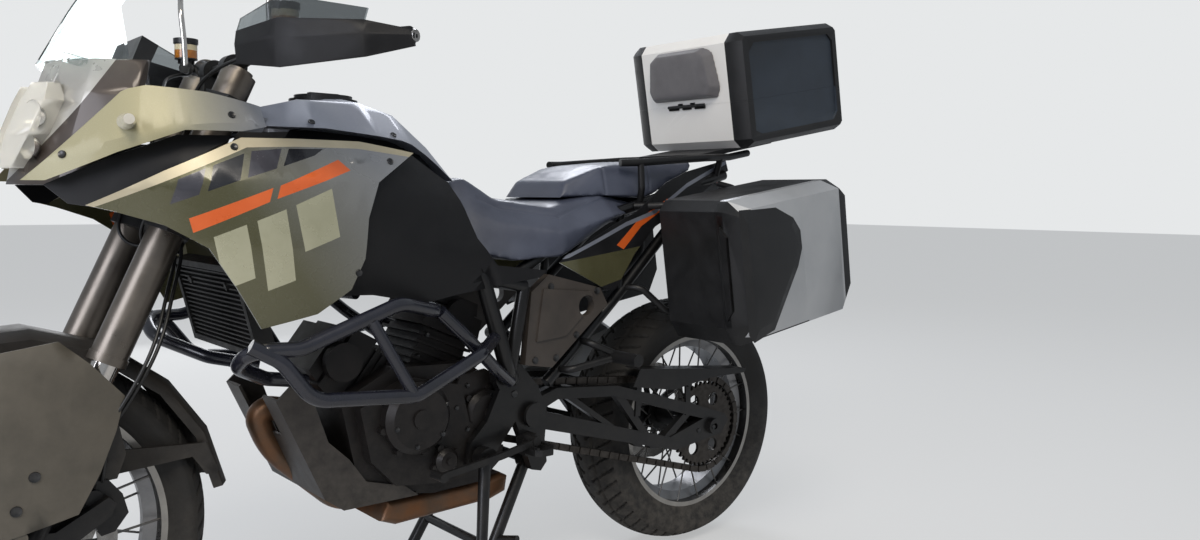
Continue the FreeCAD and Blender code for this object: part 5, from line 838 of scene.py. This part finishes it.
def press(obj, a, b, depth, width):
    """Sinks a channel into a soft piece along the line from a to b, seen from above."""
    place, way = places_of(obj.data), places_of(obj.data, "normal")
    start, run = np.array((a.x, a.y)), np.array((b.x - a.x, b.y - a.y))
    off = place[:, :2] - start
    share = np.clip(off @ run / (run @ run), 0, 1)
    gap = np.linalg.norm(off - share[:, None] * run, axis=1)
    sink = depth * np.exp(-(gap / width) ** 2) * (way[:, 2] > 0.05)
    obj.data.vertices.foreach_set("co", (place - way * sink[:, None]).ravel())
    obj.data.update()


def soft_piece(name, node, body, key, swell, voxel=0.006, passes=3, seams=(), seam_depth=0):
    """A padded piece: an even mesh of the solid, swelled by the smoothed outward push of the air, eased by
    so many passes, and pressed along its seams."""
    bm = cad_copy(node, flat=False)
    mesh = bpy.data.meshes.new(name)
    bm.to_mesh(mesh)
    bm.free()
    obj = bpy.data.objects.new(name, mesh)
    scene.collection.objects.link(obj)
    remesh = obj.modifiers.new("even_mesh", "REMESH")
    remesh.mode = "VOXEL"
    remesh.voxel_size = voxel
    bake(obj)
    rest, way = places_of(obj.data), places_of(obj.data, "normal")
    inflate(obj)
    outward = np.einsum("ij,ij->i", places_of(obj.data) - rest, way)
    outward = even_out(obj.data, np.clip(outward, 0, swell) * (way[:, 2] > UNDERSIDE), SWELL_ROUNDS)
    obj.data.vertices.foreach_set("co", (rest + way * outward[:, None]).astype(np.float32).ravel())
    obj.data.update()
    bm = bmesh.new()
    bm.from_mesh(obj.data)
    for _ in range(passes):
        bmesh.ops.smooth_vert(bm, verts=bm.verts, factor=0.5, use_axis_x=True, use_axis_y=True,
                              use_axis_z=True)
    bm.to_mesh(obj.data)
    bm.free()
    finer = obj.modifiers.new("finer", "SUBSURF")
    finer.levels = 1
    finer.render_levels = 1
    bake(obj)
    for (x1, y1), (x2, y2) in seams:
        press(obj, at(x1, y1, 0), at(x2, y2, 0), seam_depth / 1000, SEAM_WIDTH / 1000)
    obj.data.materials.clear()
    obj.data.materials.append(MATERIALS[key])
    obj.data.shade_smooth()
    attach(obj, body)
    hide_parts(node)


# The seams of the seats, seen from above as pairs of (x, y).
SEAT_EDGE = ((66, 92), (238, 150), (470, 112))
RIDER_SEAMS = [((x1, side * y1), (x2, side * y2))
               for (x1, y1), (x2, y2) in zip(SEAT_EDGE, SEAT_EDGE[1:]) for side in (-1, 1)]
PASSENGER_SEAMS = [((x, -130), (x, 130)) for x in (392, 532)]

# The seats' colour carries a painted reflection of the sky.
soft_piece("rider_cushion", "rider_seat", "chassis", "seat_vinyl_with_painted_sky_sheen", swell=0.006,
           seams=RIDER_SEAMS, seam_depth=SEAM_DEPTH)
soft_piece("passenger_cushion", "passenger_seat", "chassis", "seat_vinyl_with_painted_sky_sheen", swell=0.004,
           seams=PASSENGER_SEAMS, seam_depth=CROSS_SEAM_DEPTH)
soft_piece("case_pad", "backrest_pad", "top_lid", "skinned_foam", swell=0.003, voxel=0.003,
           passes=2)

# Hand controls: the reservoirs, by their middle and the heights of foot, fluid and lid.
POT = (-416.5, 254.1)
POT_REACH = 23
POT_FOOT = 1184
FLUID_TOP = 1200
POT_TOP = 1211


def pot_key(c, normal):
    """Amber fluid below, the pale empty pot above it, and the black lid and bracket."""
    off = math.hypot(c.x - POT[0], abs(c.y) - POT[1])
    if off > POT_REACH or abs(normal.z) > 0.5 or not POT_FOOT < c.z < POT_TOP:
        return None
    return "amber_fluid" if c.z < FLUID_TOP else "milky_polyethylene"


def level_cuts(*heights):
    """Level cutting planes at some heights."""
    return [(at(0, 0, z), (0, 0, 1)) for z in heights]


dressed("hand_controls", "bar_controls", "steering", "satin_black_nylon",
        level_cuts(POT_FOOT, FLUID_TOP, POT_TOP), pot_key, slot="cast_black")

FORK_FOOT_TOP = 470
dressed("fork_legs_and_feet", "fork_lower_legs", "steering", "chromed_steel", level_cuts(FORK_FOOT_TOP),
        lambda c, normal: "painted_cast_alloy" if c.z < FORK_FOOT_TOP else None, slot="chrome_tube")

# Top case, in its own tilted millimetres from its lower front corner: the white wrap over the black shell,
# and the panel in the recess of each side.
TOP_CASE_CORNER = Vector((805, 0, 1034))
TOP_CASE_TURN = Matrix.Rotation(math.radians(10.2), 3, "Y")
BARRELS_TO = -0.6
WRAP_HALF = 152
WRAP_FRONT = 12
WRAP_REAR = 380
WRAP_FOOT = 8
WRAP_TOP = 268
RECESS_FLOOR = 192
RECESS_FACE = 197.5
RECESS_LINE = [(34, 40), (56, 30), (356, 30), (376, 52), (376, 240), (358, 258), (56, 258), (34, 236)]


def top_case_key(c, normal):
    """The steel hinge barrels, the recessed panel, the white wrap, or the black shell."""
    p = TOP_CASE_TURN @ (c - TOP_CASE_CORNER)
    if p.x < BARRELS_TO:
        return "blackened_steel"
    if RECESS_FLOOR < abs(p.y) < RECESS_FACE and inside(p.x, p.z, RECESS_LINE):
        return "textured_case_panel"
    beyond = p.x < WRAP_FRONT or p.z > WRAP_TOP or (p.z > WRAP_FOOT and p.x > WRAP_REAR)
    return "painted_case_alloy" if abs(p.y) < WRAP_HALF and beyond else None


WRAP_CUTS = [(at(0, side * WRAP_HALF, 0), (0, 1, 0)) for side in (-1, 1)]
for node, body in (("top_case_base", "chassis"), ("top_case_lid", "top_lid")):
    dressed(node + "_shell", node, body, "moulded_case_nylon", WRAP_CUTS, top_case_key, slot="case_black")

# Side cases, in their own tilted millimetres: black ends, foot and outer fittings round the bare alloy.
SIDE_CASE_CORNER = Vector((520, -223, 580))
SIDE_CASE_TURN = Matrix.Rotation(math.radians(8.8), 3, "Y")
SIDE_CASE_DEPTH = 243
FITTING_STEP = 0.2
FRONT_END = 20
REAR_END = 346
FOOT_TOP = 22
FOOT_REAR = 204


def side_case_key(c, normal):
    """Black for what stands out from the outer face, both ends and the front of the foot."""
    p = SIDE_CASE_TURN @ (Vector((c.x, -abs(c.y), c.z)) - SIDE_CASE_CORNER)
    if p.y < -SIDE_CASE_DEPTH - FITTING_STEP or not FRONT_END <= p.x <= REAR_END:
        return "moulded_case_nylon"
    return "moulded_case_nylon" if p.z < FOOT_TOP and p.x < FOOT_REAR else None


def side_case_cut(place, way):
    """A cutting plane of the tilted case, as the frame has it."""
    back = SIDE_CASE_TURN.transposed()
    return at(*(back @ Vector(place) + SIDE_CASE_CORNER)), back @ Vector(way)


SIDE_CASE_CUTS = [side_case_cut((x, 0, 0), (1, 0, 0)) for x in (FRONT_END, REAR_END, FOOT_REAR)]
SIDE_CASE_CUTS.append(side_case_cut((0, 0, FOOT_TOP), (0, 0, 1)))
for side in ("left", "right"):
    dressed(side + "_case_shell", side + "_pannier_lid", side + "_lid", "anodised_case_alloy", SIDE_CASE_CUTS,
            side_case_key, slot="case_alu")

# Panels in one finish: name, node, body, finish, slot, and the fold in degrees from which an edge is sharp.
SMOOTH = (
    ("knee_panels", "dark_side_panels", "chassis", "moulded_black_abs", "plastic_black", 50),
    ("tank_top", "tank_cover", "chassis", "metallic_silver_paint", "silver", 50),
    ("wing_paint", "upper_wings", "chassis", "wing_fade", "olive_pale", 26),
    ("guard_shells", "hand_guards", "steering", "moulded_black_abs", "plastic_black", 50),
    ("fork_shields", "fork_guards", "steering", "moulded_grey_polypropylene", "guard_bronze", 50),
    ("front_fender", "front_mudguard", "steering", "moulded_dark_polypropylene", "guard_bronze", 50),
)
for name, node, body, key, slot, fold in SMOOTH:
    obj = made(name, cad_copy(node), body, key, soft=fold, slot=slot)
    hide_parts(node)


# Screws: a round head with a round socket, set on the panel that a sideways look meets.
HEAD_SIDES = 12
HEAD_TAPER = 0.9
SCREW_HEIGHT = 3.0
SCREW_PROUD = 0.9
SOCKET_SHARE = 0.5
SOCKET_DEPTH = 0.55
LOOK_FROM = 700


def tree_of(*nodes):
    """The faces of some CAD nodes, to find where a line meets them."""
    places, faces = [], []
    for node in nodes:
        mesh = cad[node].data
        first = len(places)
        places += [v.co.copy() for v in mesh.vertices]
        faces += [[first + k for k in face.vertices] for face in mesh.polygons]
    return BVHTree.FromPolygons(places, faces)


def add_screw(bm, place, way, radius, height, socket):
    """A tapered head at a place in the frame, sized in millimetres; socket is a share of its radius."""
    radius /= 1000
    height /= 1000
    turn = way.to_track_quat("Z", "Y").to_matrix().to_4x4()
    head = bmesh.ops.create_cone(bm, cap_ends=True, segments=HEAD_SIDES, radius1=radius,
                                 radius2=radius * HEAD_TAPER, depth=height)
    top = [f for f in {f for v in head["verts"] for f in v.link_faces} if f.normal.z > 0.9]
    rim = bmesh.ops.inset_region(bm, faces=top, thickness=radius * (1 - socket))
    bmesh.ops.translate(bm, verts=top[0].verts, vec=(0, 0, -height * SOCKET_DEPTH))
    verts = set(head["verts"]) | {v for f in rim["faces"] for v in f.verts} | set(top[0].verts)
    bmesh.ops.transform(bm, matrix=Matrix.Translation(place) @ turn, verts=list(verts))


def side_screws(name, nodes, body, radius, places):
    """Screws on both sides of the machine, each square to the face that it sits on."""
    tree = tree_of(*nodes)
    bm = bmesh.new()
    for x, z in places:
        for side in (-1, 1):
            hit, normal, _, _ = tree.ray_cast(at(x, side * LOOK_FROM, z), Vector((0, -side, 0)))
            if hit is None:
                continue
            if normal.y * side < 0:
                normal = -normal
            add_screw(bm, hit + normal * SCREW_PROUD / 1000, normal, radius, SCREW_HEIGHT, SOCKET_SHARE)
    made(name, bm, body, "blackened_steel", soft=40)


def ring(x, z, radius, count, start):
    """Places round a circle, from a start in radians."""
    return [(x + radius * math.cos(start + 2 * math.pi * k / count),
             z + radius * math.sin(start + 2 * math.pi * k / count)) for k in range(count)]


ENGINE_RINGS = ring(-119, 475, 60, 6, 0.3) + ring(-90, 612, 40, 5, 0.2) + ring(24, 468, 46, 5, 0.5)
# Name, nodes, body, radius of the heads, and their places as (x, z).
SCREWS = (
    ("fairing_screws", ("side_fairings",), "chassis", 6.5, ((-500, 984), (-300, 772), (-228, 968))),
    ("wing_screws", ("upper_wings",), "chassis", 6.5, ((-736, 966), (-500, 1036))),
    ("tank_cover_screws", ("tank_cover",), "chassis", 6.5, ((-352, 1034), (-186, 1020))),
    ("side_cover_screws", ("frame_covers",), "chassis", 8,
     ((191, 716), (320, 700), (150, 560), (206, 560), (262, 606))),
    ("fork_guard_bolts", ("fork_guards",), "steering", 9, ((-786, 468), (-812, 418))),
    ("engine_cover_screws", ("engine_covers", "engine_block"), "chassis", 5.5, ENGINE_RINGS),
    ("frame_plate_screws", ("main_frame",), "chassis", 8, ((109, 490), (150, 420), (180, 350))),
    ("swingarm_screws", ("swingarm",), "chassis", 6, ((742, 324), (700, 318), (400, 386))),
)
for screws in SCREWS:
    side_screws(*screws)

BAR_END = (-300, 436, 1160)
BAR_WAY = (0.39, 0.92)
BAR_SCREW_RADIUS = 11
BAR_SCREW_HEIGHT = 5
BAR_SCREW_PROUD = 1.2
BAR_SOCKET_SHARE = 0.4


def bar_end_screws():
    """A bright screw in each hand guard's outer end, square to the bar."""
    tree = tree_of("hand_guards")
    bm = bmesh.new()
    for side in (-1, 1):
        way = Vector((BAR_WAY[0], side * BAR_WAY[1], 0)).normalized()
        start = at(BAR_END[0], side * BAR_END[1], BAR_END[2]) + way * 0.1
        hit, _, _, _ = tree.ray_cast(start, -way)
        if hit is not None:
            add_screw(bm, hit + way * BAR_SCREW_PROUD / 1000, way, BAR_SCREW_RADIUS, BAR_SCREW_HEIGHT,
                      BAR_SOCKET_SHARE)
    made("bar_end_screws", bm, "steering", "plated_bolt_steel", soft=40)


bar_end_screws()


# Headlamps: a hollow lens over two bright bowls a side. A bowl's section is its (depth, radius).
LENS_WALL = 0.0025
BOWL_SECTION = [(0, 6), (-4, 12), (-9, 18), (-15, 22), (-22, 25)]
BOWLS = (((-746, 58, 982), 0.9), ((-736, 62, 1030), 1.0))
BOWL_TURN = 18
BOWL_STEPS = 32


def lens_shell():
    """The lamp's solid made into a hollow lens, so that the bowls show through."""
    bm = cad_copy("headlamps", flat=False)
    bmesh.ops.solidify(bm, geom=bm.faces[:], thickness=LENS_WALL)
    # The lens's white stands in for its highlights: a painted highlight.
    obj = made("headlamp_lens", bm, "chassis", "lamp_lens_with_painted_highlight", soft=30, slot="clear")
    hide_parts("headlamps")


def lamp_bowls():
    """Two bright bowls a side behind the lens, turned outward."""
    bm = bmesh.new()
    for side in (-1, 1):
        for (x, y, z), scale in BOWLS:
            others = set(bm.verts)
            verts = [bm.verts.new(Vector((depth, 0, r)) / 1000 * scale) for depth, r in BOWL_SECTION]
            edges = [bm.edges.new(pair) for pair in zip(verts, verts[1:])]
            bmesh.ops.spin(bm, geom=verts + edges, cent=(0, 0, 0), axis=(1, 0, 0), angle=2 * math.pi,
                           steps=BOWL_STEPS, use_merge=True)
            turn = Matrix.Rotation(math.radians(-side * BOWL_TURN), 4, "Z")
            bmesh.ops.transform(bm, matrix=Matrix.Translation(at(x, side * y, z)) @ turn,
                                verts=[v for v in bm.verts if v not in others])
    made("headlamp_bowls", bm, "chassis", "reflector_coating", soft=60)


lens_shell()
lamp_bowls()
